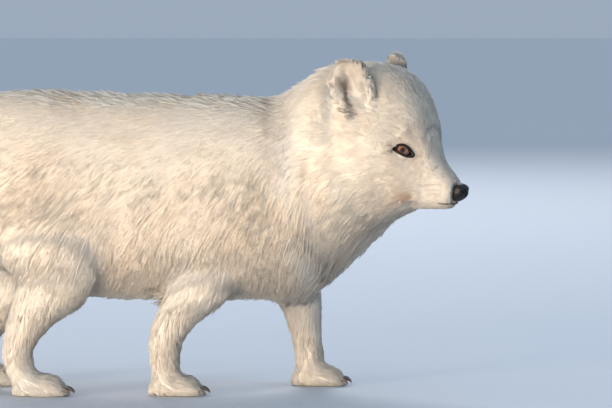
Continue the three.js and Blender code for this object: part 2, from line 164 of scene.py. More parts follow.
HEAD_COAT = (  # places count from between the eyes
    (40, 5, -22, -0.9, 0.15, 0.4, 3.0, 1.2),
    (30, 6, -10, -0.8, 0.2, 0.6, 3.6, 1.4),
    (38, 12, -38, -1.0, 0.2, -0.1, 3.0, 1.2),
    (26, 17, -36, -1.0, 0.15, -0.15, 4.0, 1.6),
    (35, 0, -50, -1.0, 0.0, -0.2, 4.5, 1.6),
    (15, 0, -51, -0.9, 0.0, -0.5, 9.0, 4.0),
    (20, 0, 12, -0.4, 0.1, 0.9, 5.0, 2.2),
    (16, 17, 8, -0.5, 0.3, 0.8, 4.0, 1.8),
    (12, 0, 40, -0.4, 0.1, 0.9, 8.0, 4.0),
    (2, 14, 60, -0.8, 0.2, 0.6, 11, 5.5),
    (-20, 15, 77, -1.0, 0.15, 0.0, 15, 5.6),
    (-50, 0, 80, -1.0, 0.0, -0.15, 24, 8.2),
    (8, 24, 18, -0.6, 0.4, 0.7, 5.0, 2.2),
    (-8, 38, 30, -0.85, 0.3, 0.35, 10, 4.5),
    (-12, 36, 5, -1.0, 0.2, 0.0, 8.0, 3.4),
    (6, 30, -14, -0.95, 0.25, -0.2, 5.5, 2.2),
    (5, 28, -32, -0.95, 0.2, -0.35, 8.0, 3.2),
    (-18, 45, -12, -0.9, 0.2, -0.3, 15, 6.5),
    (-40, 60, -5, -0.85, 0.2, -0.4, 21, 8.2),
    (-55, 62, 30, -0.95, 0.1, -0.2, 22, 9.0),
    (-45, 45, 55, -1.0, 0.0, 0.0, 17, 6.8),
    (-20, 42, -40, -0.6, 0.2, -0.75, 19, 7.5),
    (-5, 20, -50, -0.6, 0.15, -0.8, 15, 6.0),
    (-30, 0, -60, -0.3, 0.0, -0.95, 28, 10),
    (-45, 60, -45, -0.45, 0.1, -0.88, 27, 10),
)
# Rows: height, lie (along, outwards, up), hair length, coat depth.
LEG_COAT = (
    (175, -0.5, 0.0, -0.85, 27, 10),
    (110, -0.3, 0.0, -0.95, 24, 8.5),
    (80, -0.15, 0.0, -1.0, 16, 4.9),
    (50, -0.1, 0.0, -1.0, 13, 4.5),
    (28, 0.1, 0.0, -1.0, 11, 3.8),
    (14, 0.7, 0.0, -0.6, 9.0, 3.2),
    (2, 0.9, 0.0, -0.4, 6.0, 2.2),
)
EAR_COAT = {"back": (8.5, 2.0), "hollow": (8.5, 1.5)}  # hair length and coat depth
EAR_ROOT, EAR_TIP = (-25, 52, 20), (-42, 60, 83)
EAR_FACING = (0.5, 0.87, 0.0)
# Rounds of flesh that close the notch before each ear: place and radius.
EAR_ROOTS = ((-26, 38, 44, 9.5), (-29, 40, 53, 8.5), (-32, 41, 61, 7.0))
EAR_FILL = 4.0  # how far hair fills the hollow
EAR_SHORT = 1.5  # how far the ear's flesh ends short of its hair's tips
EAR_HOLLOW_LIE = (-0.25, 0.03, -0.05)  # added to the lie where the ear is hollow
TAIL_LINE = ((-213, 0, 226), (-253, 2, 196), (-303, 8, 150), (-365, 17, 112), (-431, 24, 92), (-491, 27, 92))
TAIL_REACH = 290.0
TAIL_HAIR = 38.0
TAIL_DEPTH = 14.0
TAIL_CORE = 0.5  # of the tail's half width is flesh
TAIL_STARTS, TAIL_SETTLES = 0.1, 0.2  # shares of the tail over which its flesh draws in
TAIL_SHORT = 0.1  # the share of the tail by which the flesh ends short of its tip
BODY_BLEND, LEG_BLEND = 9.0, 8.0  # millimetres over which the tables' rows blend

# ---- colours
CREAM = np.array([0.87, 0.79, 0.68])
PALE = np.array([0.94, 0.90, 0.83])
# Rows: strength, size in millimetres and seed of patches in the coat and in its marks.
PALE_PATCHES = ((0.28, 55, 3), (0.12, 14, 4))
MARK_PATCHES = ((0.5, 12, 5),)
# Painted shade on the body: grey along the back's top line (mostly shade), brown in the neck's crease and the
# flank's fold.
# Rows: place (along, aside, up), spread (the same three), colour, strength.
PAINTED_SHADE_MARKS = (
    # these two rows: mostly painted shade along the back's top line
    (-120, 0, 276, 60, 30, 9, (0.50, 0.45, 0.40), 0.22),
    (40, 0, 272, 50, 36, 9, (0.50, 0.45, 0.40), 0.24),
    # painted shade in the crease at the neck
    (78, 76, 236, 5, 40, 34, (0.42, 0.30, 0.20), 0.34),
    # these two rows: painted shade in the fold of the flank
    (-72, 70, 150, 8, 40, 26, (0.46, 0.35, 0.25), 0.30),
    (-56, 66, 116, 8, 40, 18, (0.46, 0.35, 0.25), 0.30),
)
HEAD_MARKS = (
    (-14, 40, -26, 5, 8, 5, (0.45, 0.33, 0.24), 0.25),
    (8, 28, 16, 3, 8, 7, (0.40, 0.36, 0.33), 0.32),
    (12, 22, -5, 3, 7, 2.5, (0.34, 0.17, 0.09), 0.75),
    (6, 26, -36, 8, 9, 4.5, (0.60, 0.33, 0.17), 0.55),
    (-4, 28, -28, 9, 9, 4, (0.66, 0.46, 0.30), 0.3),
    (34, 12, -45, 1.3, 5, 1.3, (0.10, 0.06, 0.05), 0.8),
)
# Lines: their places from between the eyes, width, colour, strength.
HEAD_LINES = (
    # painted shade: a faint streak behind the eye
    (((-6, 34, 1.5), (-11, 40, 0), (-18, 48, -3)), 1.5, (0.26, 0.18, 0.13), 0.55),
    (((-6, 32, 8), (-12, 38, 6), (-20, 46, 3)), 1.3, (0.40, 0.31, 0.24), 0.3),
    (((30, 17, -44), (18, 18, -44.5), (6, 19, -44)), 1.4, (0.36, 0.23, 0.15), 0.45),
)
# Painted shadow along the parting in each ear's hollow, brown at its top and near black at its foot; its hair
# is shorter too.
EAR_FOLD = ((-45, 54, 58), (-42, 49, 49), (-38, 44, 40), (-31, 46, 30))  # the dark line inside the ear
EAR_FOLD_WIDE = 4.0
EAR_FOLD_SHADOW_COLOURS = np.array([0.24, 0.16, 0.10]), np.array([0.03, 0.018, 0.012])  # at its top and foot
FLECKS = {
    "line": ((18, 17, -5), (37, 9, -24)), "width": 5.0, "size": 3.2,
    "colour": (0.25, 0.19, 0.15), "strength": 0.4,
}


def waves(points, scale, seed):
    """Smooth noise from -1 to 1 with features of about this size, in millimetres."""
    dice = np.random.default_rng(seed)
    total = np.zeros(len(points))
    count = 9
    for _ in range(count):
        way = unit(dice.normal(size=3)) * 2 * math.pi / (scale * dice.uniform(0.7, 1.6))
        total += np.sin(points @ way + dice.uniform(0, 2 * math.pi))
    return np.clip(total / math.sqrt(count), -1.5, 1.5) / 1.5


def to_both_sides(places):
    """Straight places folded onto one side."""
    return np.column_stack([places[:, 0], np.abs(places[:, 1]), places[:, 2]])


def near_line(points, line):
    """The distance of each point to a broken line, and how far along it the nearest place is, 0 to 1."""
    line = np.asarray(line, float)
    best = np.full(len(points), np.inf)
    where = np.zeros(len(points))
    count = len(line) - 1
    for i in range(count):
        a, b = line[i], line[i + 1]
        share = np.clip((points - a) @ (b - a) / ((b - a) @ (b - a)), 0, 1)
        gap = np.linalg.norm(points - (a + share[:, None] * (b - a)), axis=1)
        closer = gap < best
        best[closer] = gap[closer]
        where[closer] = (i + share[closer]) / count
    return best, where


def near_head_line(places, line):
    """The same for places folded onto one side and a line that counts from between the eyes."""
    return near_line(places, [from_eyes(*p) for p in line])


def step_on(line, where):
    """Which step of a broken line a share of it falls on, and how far along that step, 0 to 1."""
    steps = where * (len(line) - 1)
    index = np.minimum(steps.astype(int), len(line) - 2)
    return index, (steps - index)[:, None]


def ear_slit(places):
    """1 along the dark parting in each ear's hollow, fading to either side, and how far down it is."""
    gap, where = near_head_line(to_both_sides(places), EAR_FOLD)
    return np.exp(-((gap / (EAR_FOLD_WIDE * (1.2 - 0.5 * where))) ** 2)) * (0.75 + 0.25 * where), where


def sum_of_waves(places, rows):
    return sum(strength * waves(places, size, seed) for strength, size, seed in rows)


def coat_colour(places):
    """The coat's colour at straight places: cream with pale patches, marks, and painted shade, on both sides.
    """
    folded = to_both_sides(places)
    pale = 0.5 + sum_of_waves(places, PALE_PATCHES)
    colour = CREAM + (PALE - CREAM) * np.clip(pale, 0, 1)[:, None]
    patchy = 0.75 + sum_of_waves(places, MARK_PATCHES)
    # painted shade on the body, and the head's own marks
    for *numbers, mark, strength in (*PAINTED_SHADE_MARKS, *from_head(HEAD_MARKS)):
        centre, reach = np.array(numbers[:3]), np.array(numbers[3:])
        fade = np.exp(-(((folded - centre) / reach) ** 2).sum(axis=1)) * strength * patchy
        colour += (np.array(mark) - colour) * np.clip(fade, 0, 1)[:, None]
    # painted shadow along the parting in each ear's hollow
    slit, where = ear_slit(places)
    top, foot = EAR_FOLD_SHADOW_COLOURS
    colour += (top + (foot - top) * where[:, None] - colour) * slit[:, None]
    # lines on the head, the first of them painted shade behind each eye
    for line, width, mark, strength in HEAD_LINES:
        gap, where = near_head_line(folded, line)
        fade = np.exp(-((gap / width) ** 2)) * strength * (1 - 0.5 * where)
        colour += (np.array(mark) - colour) * fade[:, None]
    gap, _ = near_head_line(folded, FLECKS["line"])
    inside = np.exp(-((gap / FLECKS["width"]) ** 2))
    dots = np.clip(waves(places, FLECKS["size"], 6) * 2.4 - 0.8, 0, 1) * inside * FLECKS["strength"]
    colour += (np.array(FLECKS["colour"]) - colour) * dots[:, None]
    return np.clip(colour, 0.01, 0.97)


# ---- meshes
def linked(name, data):
    """A new object in the scene with this data."""
    made = bpy.data.objects.new(name, data)
    bpy.context.collection.objects.link(made)
    return made


def shade(mesh, smooth=True):
    mesh.polygons.foreach_set("use_smooth", np.full(len(mesh.polygons), smooth))


def mesh_object(name, points, faces, smooth=True):
    """An object from arrays of points and of faces that all have as many corners."""
    faces = np.asarray(faces, np.int32)
    corners = faces.shape[1]
    mesh = bpy.data.meshes.new(name)
    mesh.vertices.add(len(points))
    mesh.vertices.foreach_set("co", np.asarray(points, np.float32).ravel())
    mesh.loops.add(faces.size)
    mesh.loops.foreach_set("vertex_index", faces.ravel())
    mesh.polygons.add(len(faces))
    mesh.polygons.foreach_set("loop_start", np.arange(0, faces.size, corners, dtype=np.int32))
    mesh.update(calc_edges=True)
    shade(mesh, smooth)
    return linked(name, mesh)


def read(rows, name, width, kind=np.float32):
    """One measure of each of a mesh's vertices, edges or triangles as an array."""
    flat = np.empty(len(rows) * width, kind)
    rows.foreach_get(name, flat)
    return flat.reshape(-1, width)


def points_of(mesh):
    return read(mesh.vertices, "co", 3).astype(float)


def normals_of(mesh):
    return read(mesh.vertices, "normal", 3).astype(float)


def triangles_of(mesh):
    mesh.calc_loop_triangles()
    return read(mesh.loop_triangles, "vertices", 3, np.int32)


def edges_of(mesh):
    return read(mesh.edges, "vertices", 2, np.int32)


def move_points(mesh, points):
    mesh.vertices.foreach_set("co", points.astype(np.float32).ravel())
    mesh.update()


def joined(parts):
    """The points and faces of several surfaces as those of one."""
    starts = np.cumsum([0] + [len(points) for points, _ in parts[:-1]])
    faces = [own + start for (_, own), start in zip(parts, starts)]
    return np.vstack([points for points, _ in parts]), np.vstack(faces)


def tree_of(points):
    """A tree that finds the nearest of these points."""
    tree = KDTree(len(points))
    for i, point in enumerate(points):
        tree.insert(point, i)
    tree.balance()
    return tree


def nearest_in(tree, points):
    return np.array([tree.find(p)[1] for p in points.tolist()])


def spread(values, edges, rounds, share=0.5):
    """Smooths values over a mesh's edges. share may differ from vertex to vertex."""
    count = len(values)
    share = np.broadcast_to(np.asarray(share, float), (count,))[:, None]
    a, b = edges.T
    around = np.maximum(np.bincount(edges.ravel(), minlength=count), 1)[:, None]
    values = values.reshape(count, -1)
    for _ in range(rounds):
        total = np.column_stack([
            np.bincount(a, values[b, k], count) + np.bincount(b, values[a, k], count)
            for k in range(values.shape[1])
        ])
        values = values + share * (total / around - values)
    return values


def colour_vertices(mesh, colours):
    layer = mesh.color_attributes.new("tint", "FLOAT_COLOR", "POINT")
    full = np.column_stack([colours, np.ones(len(colours))]).astype(np.float32)
    layer.data.foreach_set("color", full.ravel())


def welded(node):
    """A node's points and triangles with its split corners joined."""
    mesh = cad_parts[node].data
    points = points_of(mesh)
    triangles = triangles_of(mesh)
    keys, back = np.unique(np.round(points / MM, 3), axis=0, return_inverse=True)
    return keys * MM, back.reshape(-1)[triangles]


def vertex_normals(points, triangles):
    a, b, c = (points[triangles[:, k]] for k in range(3))
    face = np.cross(b - a, c - a)
    total = np.zeros_like(points)
    for k in range(3):
        np.add.at(total, triangles[:, k], face)
    return unit(total)


def remeshed(name, points, triangles, voxel):
    """One closed surface round solids that overlap, as a mesh of even quads."""
    rough = mesh_object(name, points, triangles)
    remesh = rough.modifiers.new("remesh", "REMESH")
    remesh.mode = "VOXEL"
    remesh.voxel_size = voxel
    graph = bpy.context.evaluated_depsgraph_get()
    mesh = bpy.data.meshes.new_from_object(rough.evaluated_get(graph))
    bpy.data.objects.remove(rough)
    return mesh


# ---- skin
FLESH = sorted(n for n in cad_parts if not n.startswith(("eye_", "claw_", "nose")))
SEAL = 0.5 * MM  # each solid grows by this, so that the cuts between them close
VOXEL = 2.5 * MM
# The ball in which the head's faces are split, from between the eyes, and those round the eyes and nose.
FINE_MIDDLE = (0, 0, 5)
FINE_HEAD, FINE_EYES, FINE_NOSE = 75 * MM, 19 * MM, 26 * MM
# Where the coat hides how the legs and neck join the trunk: along the body and up, and how softly it ends.
FLOWING_FROM, FLOWING_TO, FLOWING_LOW, FLOWING_FADE = -235.0, 125.0, 100.0, 30
# How many rounds of smoothing each thing has.
ROUNDS = {
    "shape": 6, "flowing": 40, "comb": 14, "depth": 6, "skin": 8,
    "normals": 3, "reach": 10, "nose": 10, "lips": 4,
}
FACE_STARTS, FACE_FADE = -40, 20  # from between the eyes
FACE_FIRM, REACH_FIRM = 0.35, 0.3  # how much less the face is smoothed
SLIT_SHORT = 0.65  # how much shorter hair is in the ear's dark parting
REACH_FAR = 0.08  # metres over which the solids' surface is sought from the skin
REACH_MOST = 1.5  # how many times its depth the coat may rise


def ball(centre, radius):
    bm = bmesh.new()
    bmesh.ops.create_icosphere(bm, subdivisions=4, radius=radius)
    points = np.array([v.co for v in bm.verts]) + centre
    triangles = np.array([[v.index for v in f.verts] for f in bm.faces])
    bm.free()
    return points, triangles


def flesh_solids():
    """The flesh nodes grown a little, with rounds for the lids and ear roots, and each triangle's node."""
    parts, owners = [], []
    for number, node in enumerate(FLESH):
        points, triangles = welded(node)
        parts.append((points + vertex_normals(points, triangles) * SEAL, triangles))
        owners.append(number)
    rounds = [(box_middle(node), EYE_RADIUS + LID_COVER) for node in EYES]
    rounds += [(head_place(*place, side), radius) for *place, radius in EAR_ROOTS for side in (-1, 1)]
    parts += [ball(middle, radius * MM) for middle, radius in rounds]
    owners += [FLESH.index("head")] * len(rounds)
    return *joined(parts), np.repeat(owners, [len(triangles) for _, triangles in parts])


def largest_part(bm):
    """Removes the small closed pockets that are left where two solids met."""
    unseen = set(bm.verts)
    parts = []
    while unseen:
        stack = [unseen.pop()]
        part = []
        while stack:
            vert = stack.pop()
            part.append(vert)
            for edge in vert.link_edges:
                other = edge.other_vert(vert)
                if other in unseen:
                    unseen.remove(other)
                    stack.append(other)
        parts.append(part)
    parts.sort(key=len)
    bmesh.ops.delete(bm, geom=[v for part in parts[:-1] for v in part], context="VERTS")


def refined(mesh):
    """Splits the faces of the head, and again those round the eyes, nose and lips."""
    bm = bmesh.new()
    bm.from_mesh(mesh)
    largest_part(bm)
    stages = (
        [(Vector(head_place(*FINE_MIDDLE)), FINE_HEAD)],
        [(Vector(box_middle(n)), FINE_EYES) for n in EYES] + [(Vector(box_middle("nose")), FINE_NOSE)],
    )
    for balls in stages:
        edges = [e for e in bm.edges if any(all((v.co - c).length < r for v in e.verts) for c, r in balls)]
        bmesh.ops.subdivide_edges(bm, edges=edges, cuts=1, use_grid_fill=True)
    bmesh.ops.triangulate(bm, faces=[f for f in bm.faces if len(f.verts) > 4])
    bm.to_mesh(mesh)
    bm.free()


def shepard(points, rows, columns, reach):
    """Blends the rows' values by nearness. A row is its place followed by the values."""
    table = np.array(rows, float)
    gap = ((points[:, None, :] - table[None, :, :columns]) ** 2).sum(axis=2)
    weight = 1 / (gap + reach**2) ** 2
    return (weight @ table[:, columns:]) / weight.sum(axis=1, keepdims=True)


def tail_line():
    line = np.array(TAIL_LINE, float)
    length = np.linalg.norm(np.diff(line, axis=0), axis=1).sum()
    return (line - line[0]) * TAIL_REACH / length + line[0]


def body_lie(places, _):
    values = shepard(to_both_sides(places), BODY_COAT + from_head(HEAD_COAT), 3, BODY_BLEND)
    lie = values[:, :3]
    lie[:, 1] *= np.sign(places[:, 1])
    return turn_with_neck(places, lie), values[:, 3], values[:, 4]


def leg_lie(places, _):
    values = shepard(places[:, 2:], LEG_COAT, 1, LEG_BLEND)
    return values[:, :3], values[:, 3], values[:, 4]


def ear_hollow(places, normals):
    """1 where an ear's surface faces the way that the ear opens, and 0 on its back."""
    straight = turn_with_neck(places, normals, -1)
    straight[:, 1] *= np.sign(places[:, 1])
    return np.clip(straight @ np.array(EAR_FACING) * 2, 0, 1)


def ear_lie(places, normals):
    """Hair runs up the ear's back to its rim, and out of its hollow towards the back edge."""
    rise = unit(from_eyes(*EAR_TIP) - from_eyes(*EAR_ROOT))
    hollow = ear_hollow(places, normals)
    lie = rise + hollow[:, None] * np.array(EAR_HOLLOW_LIE)
    lie[:, 1] *= np.sign(places[:, 1])
    (back_hair, back_depth), (hollow_hair, hollow_depth) = EAR_COAT["back"], EAR_COAT["hollow"]
    length = back_hair + hollow * (hollow_hair - back_hair)
    depth = back_depth + hollow * (hollow_depth - back_depth)
    return turn_with_neck(places, lie), length, depth


def tail_lie(places, _):
    line = tail_line()
    index, _ = step_on(line, near_line(places, line)[1])
    lie = unit(np.diff(line, axis=0))[index]
    return lie, np.full(len(places), TAIL_HAIR), np.full(len(places), TAIL_DEPTH)


def shorten_ears(points, places, groups):
    """Draws the ears' flesh down from their tips, more the nearer it lies to them."""
    root, tip = from_eyes(*EAR_ROOT), from_eyes(*EAR_TIP)
    rise = unit(tip - root)
    share = np.clip((to_both_sides(places) - root) @ rise / np.linalg.norm(tip - root), 0, 1)
    down = np.tile(-rise, (len(places), 1))
    down[:, 1] *= np.sign(places[:, 1])
    moved = to_scene(places + down * (EAR_SHORT * share**3)[:, None])
    return np.where((groups == "ear")[:, None], moved, points)


def lie_of_coat(places, normals, groups):
    """The lie, hair length and coat depth at every vertex, by the group it belongs to."""
    lies = {"body": body_lie, "leg": leg_lie, "ear": ear_lie, "tail": tail_lie}
    lie, length, depth = np.zeros((len(places), 3)), np.zeros(len(places)), np.zeros(len(places))
    for group in np.unique(groups):
        own = groups == group
        lie[own], length[own], depth[own] = lies[group](places[own], normals[own])
    return lie, length, depth


def group_of(node):
    for group in ("leg", "paw", "ear", "tail"):
        if node.startswith(group):
            return "leg" if group == "paw" else group
    return "body"


def sink_tail(points, places, groups):
    """Draws the tail's flesh in towards its own line, and short of the hair's tip."""
    line = tail_line()
    _, where = near_line(places, line)
    index, share = step_on(line, where)
    centre = line[index] * (1 - share) + line[index + 1] * share
    settled = np.clip((where - TAIL_STARTS) / TAIL_SETTLES, 0, 1)[:, None]
    target = centre + (places - centre) * TAIL_CORE
    target += (line[0] - target) * TAIL_SHORT * where[:, None]
    moved = to_scene(places + (target - places) * settled)
    return np.where((groups == "tail")[:, None], moved, points)


# ---- face
EYES = {"eye_right": -1, "eye_left": 1}  # and their sides
LID_FACING = (0.427, 0.904, 0.036)  # forward, aside and up: the way that the lids' line is drawn from
LID_TILT = 17.4  # degrees that the line between the corners falls towards the nose
LID_MIDDLE = (1.9, -1.3)
LID_HALF = 9.4
UPPER_LID, LOWER_LID = (6.2, 0.8, -0.22), (-2.4, 0.7, 0.35)  # height, roundness and lean of the edge
LID_CLEAR = 0.6
LID_COVER = 1.8  # how thick the lids and their hair are over the ball
LID_WIDTH = 7.0
LID_THICK = 0.3
LID_BARE = 1.1
LID_HAIR_FADE, LID_HAIR_TURN, LID_HAIR_SHORT, LID_HAIR_THIN = 5.0, 1.3, 0.55, 0.4
OPEN_EYE_LEVEL = -1.0  # where the skin lies behind the open eye
EYE_REACH = {"comb": 24, "sink": 26, "bare": 22, "dark": 20}  # millimetres from an eye's middle
CORNER_OUT = {"outer": 7.4, "inner": 4.2}
RIM_THIN, RIM_THICK = 1.15, 1.8
RIM_STEPS = 120
RIM_COLOUR = (0.010, 0.007, 0.006)
GAZE = {"eye_right": (0.61, 0.778, 0.10), "eye_left": (0.80, 0.58, 0.10)}
IRIS, PUPIL = 5.3, 2.3
IRIS_INNER, IRIS_OUTER = (0.24, 0.08, 0.025), (0.46, 0.17, 0.05)
PUPIL_COLOUR = (0.004, 0.003, 0.003)
WHITE_COLOUR = (0.02, 0.011, 0.008)
IRIS_BACK, IRIS_DISH = 0.55, 0.25
CORNEA_SPAN, CORNEA_PAST = 0.62, 0.5
BALL_ROWS, IRIS_ROWS, PUPIL_ROWS, CORNEA_ROWS = 28, 16, 4, 18
ROUND, IRIS_ROUND = 64, 160  # faces about an eye
NOSE_BARE, LIP_BARE = 0.9, 1.3
NOSE_BACK, NOSE_NEAR = 2.2, 3.0
NOSE_VOXEL = 0.45 * MM
NOSE_FULL = 0.35  # gives back what smoothing takes
NOSTRIL = ((6.5, 3.0, -0.8), (6.0, 4.6, 1.2), (3.2, 6.8, 1.6), (0.0, 8.4, 0.6))
NOSTRIL_WIDE, NOSTRIL_DEEP = 1.7, 3.0
GROOVE_WIDE, GROOVE_DEEP = 0.55, 0.9
LEATHER_COLOUR = (0.009, 0.008, 0.009)
MOUTH_LINE = ((44, 0, -47), (38, 11, -46.8), (25, 17.5, -45.6), (10, 20, -44.2), (2, 19, -43.5))
LIP_RADIUS, LIP_PROUD = 0.8, 0.75
LIP_STEPS = 40
LIP_TAPER = (0, 0.4, 0.55, 1), (1, 0.9, 0.5, 0.2)  # shares of the line, and of the radius there
LIP_COLOUR = (0.035, 0.022, 0.018)
WHISKER_RADIUS, WHISKER_STEPS = 0.16, 9
WHISKER_STANDS, WHISKER_STRAYS, WHISKER_SAG, WHISKER_BACK = 0.45, 0.06, 0.18, 0.25
WHISKER_COLOUR = (0.80, 0.76, 0.70)
# Rows: root (forward, aside, up), length, and the way it goes (forward, aside, up).
WHISKERS = tuple(
    (24 + 5 * column, 18 - column, -28 - 4 * row, 44 - 7 * column, (-0.55, 0.75, -0.1 - 0.12 * row))
    for row in range(3)
    for column in range(3)
) + (
    (14, 20, 14, 22, (-0.2, 0.5, 0.9)),
    (12, 24, 13, 20, (-0.4, 0.6, 0.7)),
    (-8, 40, -28, 24, (-0.6, 0.7, -0.3)),
)
CLAW_COLOUR = (0.10, 0.075, 0.06)

# ---- hair
SKIN_SHADE = 0.86
SOLE = 1.2  # how high the skin ends over the floor
ROOT_DEEP = 0.5
MID_RISE = 0.72
HANG_RISE, HANG_GAIN, HANG_MOST = 0.8, 1.5, 0.7
LIGHT_THROUGH = 0.6
SOFT_SHADE, FACE_SHADE = 4.6, 2.2  # how far a tuft is lit as the body under it is
LOCKS_LEAST = 8
LOCK_SWAY, LOCK_LEADS = 0.12, 0.7  # how far locks turn, and their tufts with them
LOCK_RISE, LOCK_LONG = (0.92, 1.04), (0.85, 1.1)
LOCK_TONE, HEAD_TONE, HAIR_TONE = 0.022, 0.03, 0.025  # how far locks and tufts differ in tone
HAIR_SWAY = 0.10
HAIR_RISE, HAIR_LONG = (0.84, 1.06), (0.7, 1.08)
STRAYS, STRAY_RISE, STRAY_WIDTH = 0.08, (1.1, 1.4), 0.7  # thin hairs that stand out of the coat
PULL_SPREAD, PULL_MOST = (0.5, 1.4), 0.9  # how far tufts are drawn to their lock
TIP_BESIDE, TIP_OWN, MIDDLE_BESIDE = 0.12, 0.1, 0.6  # what drawn tips and middles keep of their own place
TIP_CLEAR, MIDDLE_CLEAR = 0.4, 0.6  # over the floor
WIDTH_LEAST, WIDTH_GAIN, WIDTH_SPREAD = 0.38, 0.010, (0.75, 1.2)
# Where locks hang free below the chest and belly.
RAGGED_LINE = (
    (172, 0, 175), (150, 0, 128), (112, 0, 92), (60, 0, 86), (-60, 0, 86), (-150, 0, 92), (-215, 0, 150),
)
RAGGED_WIDE = 42.0
RAGGED_LONGER, RAGGED_CLUMP, RAGGED_FREE, RAGGED_MORE = 0.35, 0.35, 1.5, 0.2
TAIL_DEEPEST = 34.0
# Where regions of coat end: from between the eyes, then along the body.
FACE_BACK, HEAD_BACK = -14.0, -56.0
NECK_BACK, SHOULDERS_BACK, FLANKS_BACK = 92, 12, -82
# The coat's own map follows these lines.
MAP_EDGE, MAP_SPAN, MAP_TURN, MAP_PAST_END = 0.01, 0.98, 0.98, 200.0
BODY_LINE = (
    (-240, 0, 190), (-100, 0, 185), (60, 0, 180), (130, 0, 205), (165, 0, 215), (200, 0, 212), (255, 0, 190),
)
LEG_LINES = tuple(
    ((hip, side * 40, 190), (knee, side * 46, 110), (paw, side * 43, 45), (paw + 18, side * 43, 0))
    for hip, knee, paw, side in (
        (15, -5, -20, -1), (70, 100, 110, 1), (-150, -150, -143, -1), (-160, -190, -196, 1),
    )
)
EAR_LINES = tuple(tuple(from_eyes(f, side * a, u) for f, a, u in (EAR_ROOT, EAR_TIP)) for side in (-1, 1))
UP_OR_AHEAD = {"body": (0, 0, 1.0), "tail": (0, 0, 1.0), "leg": (1.0, 0, 0), "ear": (1.0, 0.2, 0)}

# ---- stage
CAMERA_PLACE = (0.2079, -2.9911, 0.3290)
CAMERA_TARGET = (0.2079, 0.0048, 0.1720)
CAMERA_LENS, CAMERA_SENSOR, CAMERA_FAR = 191.8, 36.0, 400.0
SKY_LOW, SKY_HIGH = (0.54, 0.65, 0.82), (0.68, 0.83, 1.0)  # at the horizon, and above SKY_TOP
SKY_TOP, SKY_STRENGTH = 0.4, 0.62
FLOOR_NEAR, FLOOR_FAR = (0.50, 0.53, 0.57), (0.68, 0.70, 0.75)
FLOOR_FADE = 3.0, 8.0  # metres from the fox over which the floor pales
FLOOR_SPAN = 200.0
LIGHTS_AIM = (0.1, 0.0, 0.15)
LIGHTS = (  # name, place, width, height, power, colour
    ("key", (-2.3, -2.2, 0.32), 1.0, 0.6, 110.0, (1.0, 0.84, 0.68)),
    ("sky", (2.2, -0.6, 1.6), 2.0, 2.0, 15.0, (0.35, 0.62, 1.0)),
    ("low", (-0.5, -2.2, 0.1), 1.6, 0.16, 56.0, (1.0, 0.89, 0.78)),
    ("back", (-0.4, 3.8, 3.4), 2.4, 2.4, 150.0, (0.97, 0.97, 1.0)),
)


# ---- eye sockets, and the skin as a whole
def head_way(forward, aside, up, side):
    """A direction given against the head, on its left (1) or right (-1) side, as one in the scene."""
    ahead = np.array([math.cos(BEND_TURN), -math.sin(BEND_TURN), 0])
    left = np.array([math.sin(BEND_TURN), math.cos(BEND_TURN), 0])
    return forward * ahead + aside * side * left + up * np.array([0, 0, 1.0])


def across_from(out, side):
    """The way towards the nose at right angles to an eye's way out."""
    ahead = head_way(1, 0, 0, side)
    return unit(ahead - out * (ahead @ out))


def eye_frame(node):
    """The middle of an eye and its three ways: to the nose, up, and out of the head."""
    side = EYES[node]
    out = head_way(*LID_FACING, side)
    across = across_from(out, side)
    return box_middle(node), across, np.cross(across, out) * side, out


def lid_places(points, node):
    """Where points lie against the lids: along the line between the corners (-1 to 1), above it, out."""
    middle, across, up, out = eye_frame(node)
    offset = (points - middle) / MM
    tilt = math.radians(LID_TILT)
    u = offset @ across - LID_MIDDLE[0]
    v = offset @ up - LID_MIDDLE[1]
    along = (u * math.cos(tilt) - v * math.sin(tilt)) / LID_HALF
    above = u * math.sin(tilt) + v * math.cos(tilt)
    return along, above, offset @ out


def lid_edge(along, lid):
    """The height of a lid's edge over the line between the corners."""
    height, power, lean = lid
    return height * np.clip(1 - along**2, 0, 1) ** power * (1 + lean * along)


def outside_lids(points, node):
    """How far points are outside the open eye as it is seen from in front, in millimetres."""
    along, above, _ = lid_places(points, node)
    over = above - lid_edge(along, UPPER_LID)
    under = lid_edge(along, LOWER_LID) - above
    beyond = (np.abs(along) - 1) * LID_HALF
    return np.maximum(np.maximum(over, under), beyond)


def lid_height(points, node):
    """How far out the lids' edge lies at these places: on the ball, and level beside it."""
    along, _, _ = lid_places(points, node)
    middle, across, up, _ = eye_frame(node)
    offset = (points - middle) / MM
    gap = (offset @ across) ** 2 + (offset @ up) ** 2
    on_ball = np.sqrt(np.maximum((EYE_RADIUS + LID_CLEAR) ** 2 - gap, 0))
    share = (np.clip(along, -1, 1) + 1) / 2
    beside = CORNER_OUT["outer"] * (1 - share) + CORNER_OUT["inner"] * share
    return np.maximum(on_ball, beside)


def flowing(places):
    """1 where the coat hides how the legs and neck join the trunk, and 0 on the legs, head and tail."""
    behind = np.clip((FLOWING_TO - places[:, 0]) / FLOWING_FADE, 0, 1)
    ahead = np.clip((places[:, 0] - FLOWING_FROM) / FLOWING_FADE, 0, 1)
    above = np.clip((places[:, 2] - FLOWING_LOW) / FLOWING_FADE, 0, 1)
    return behind * ahead * above


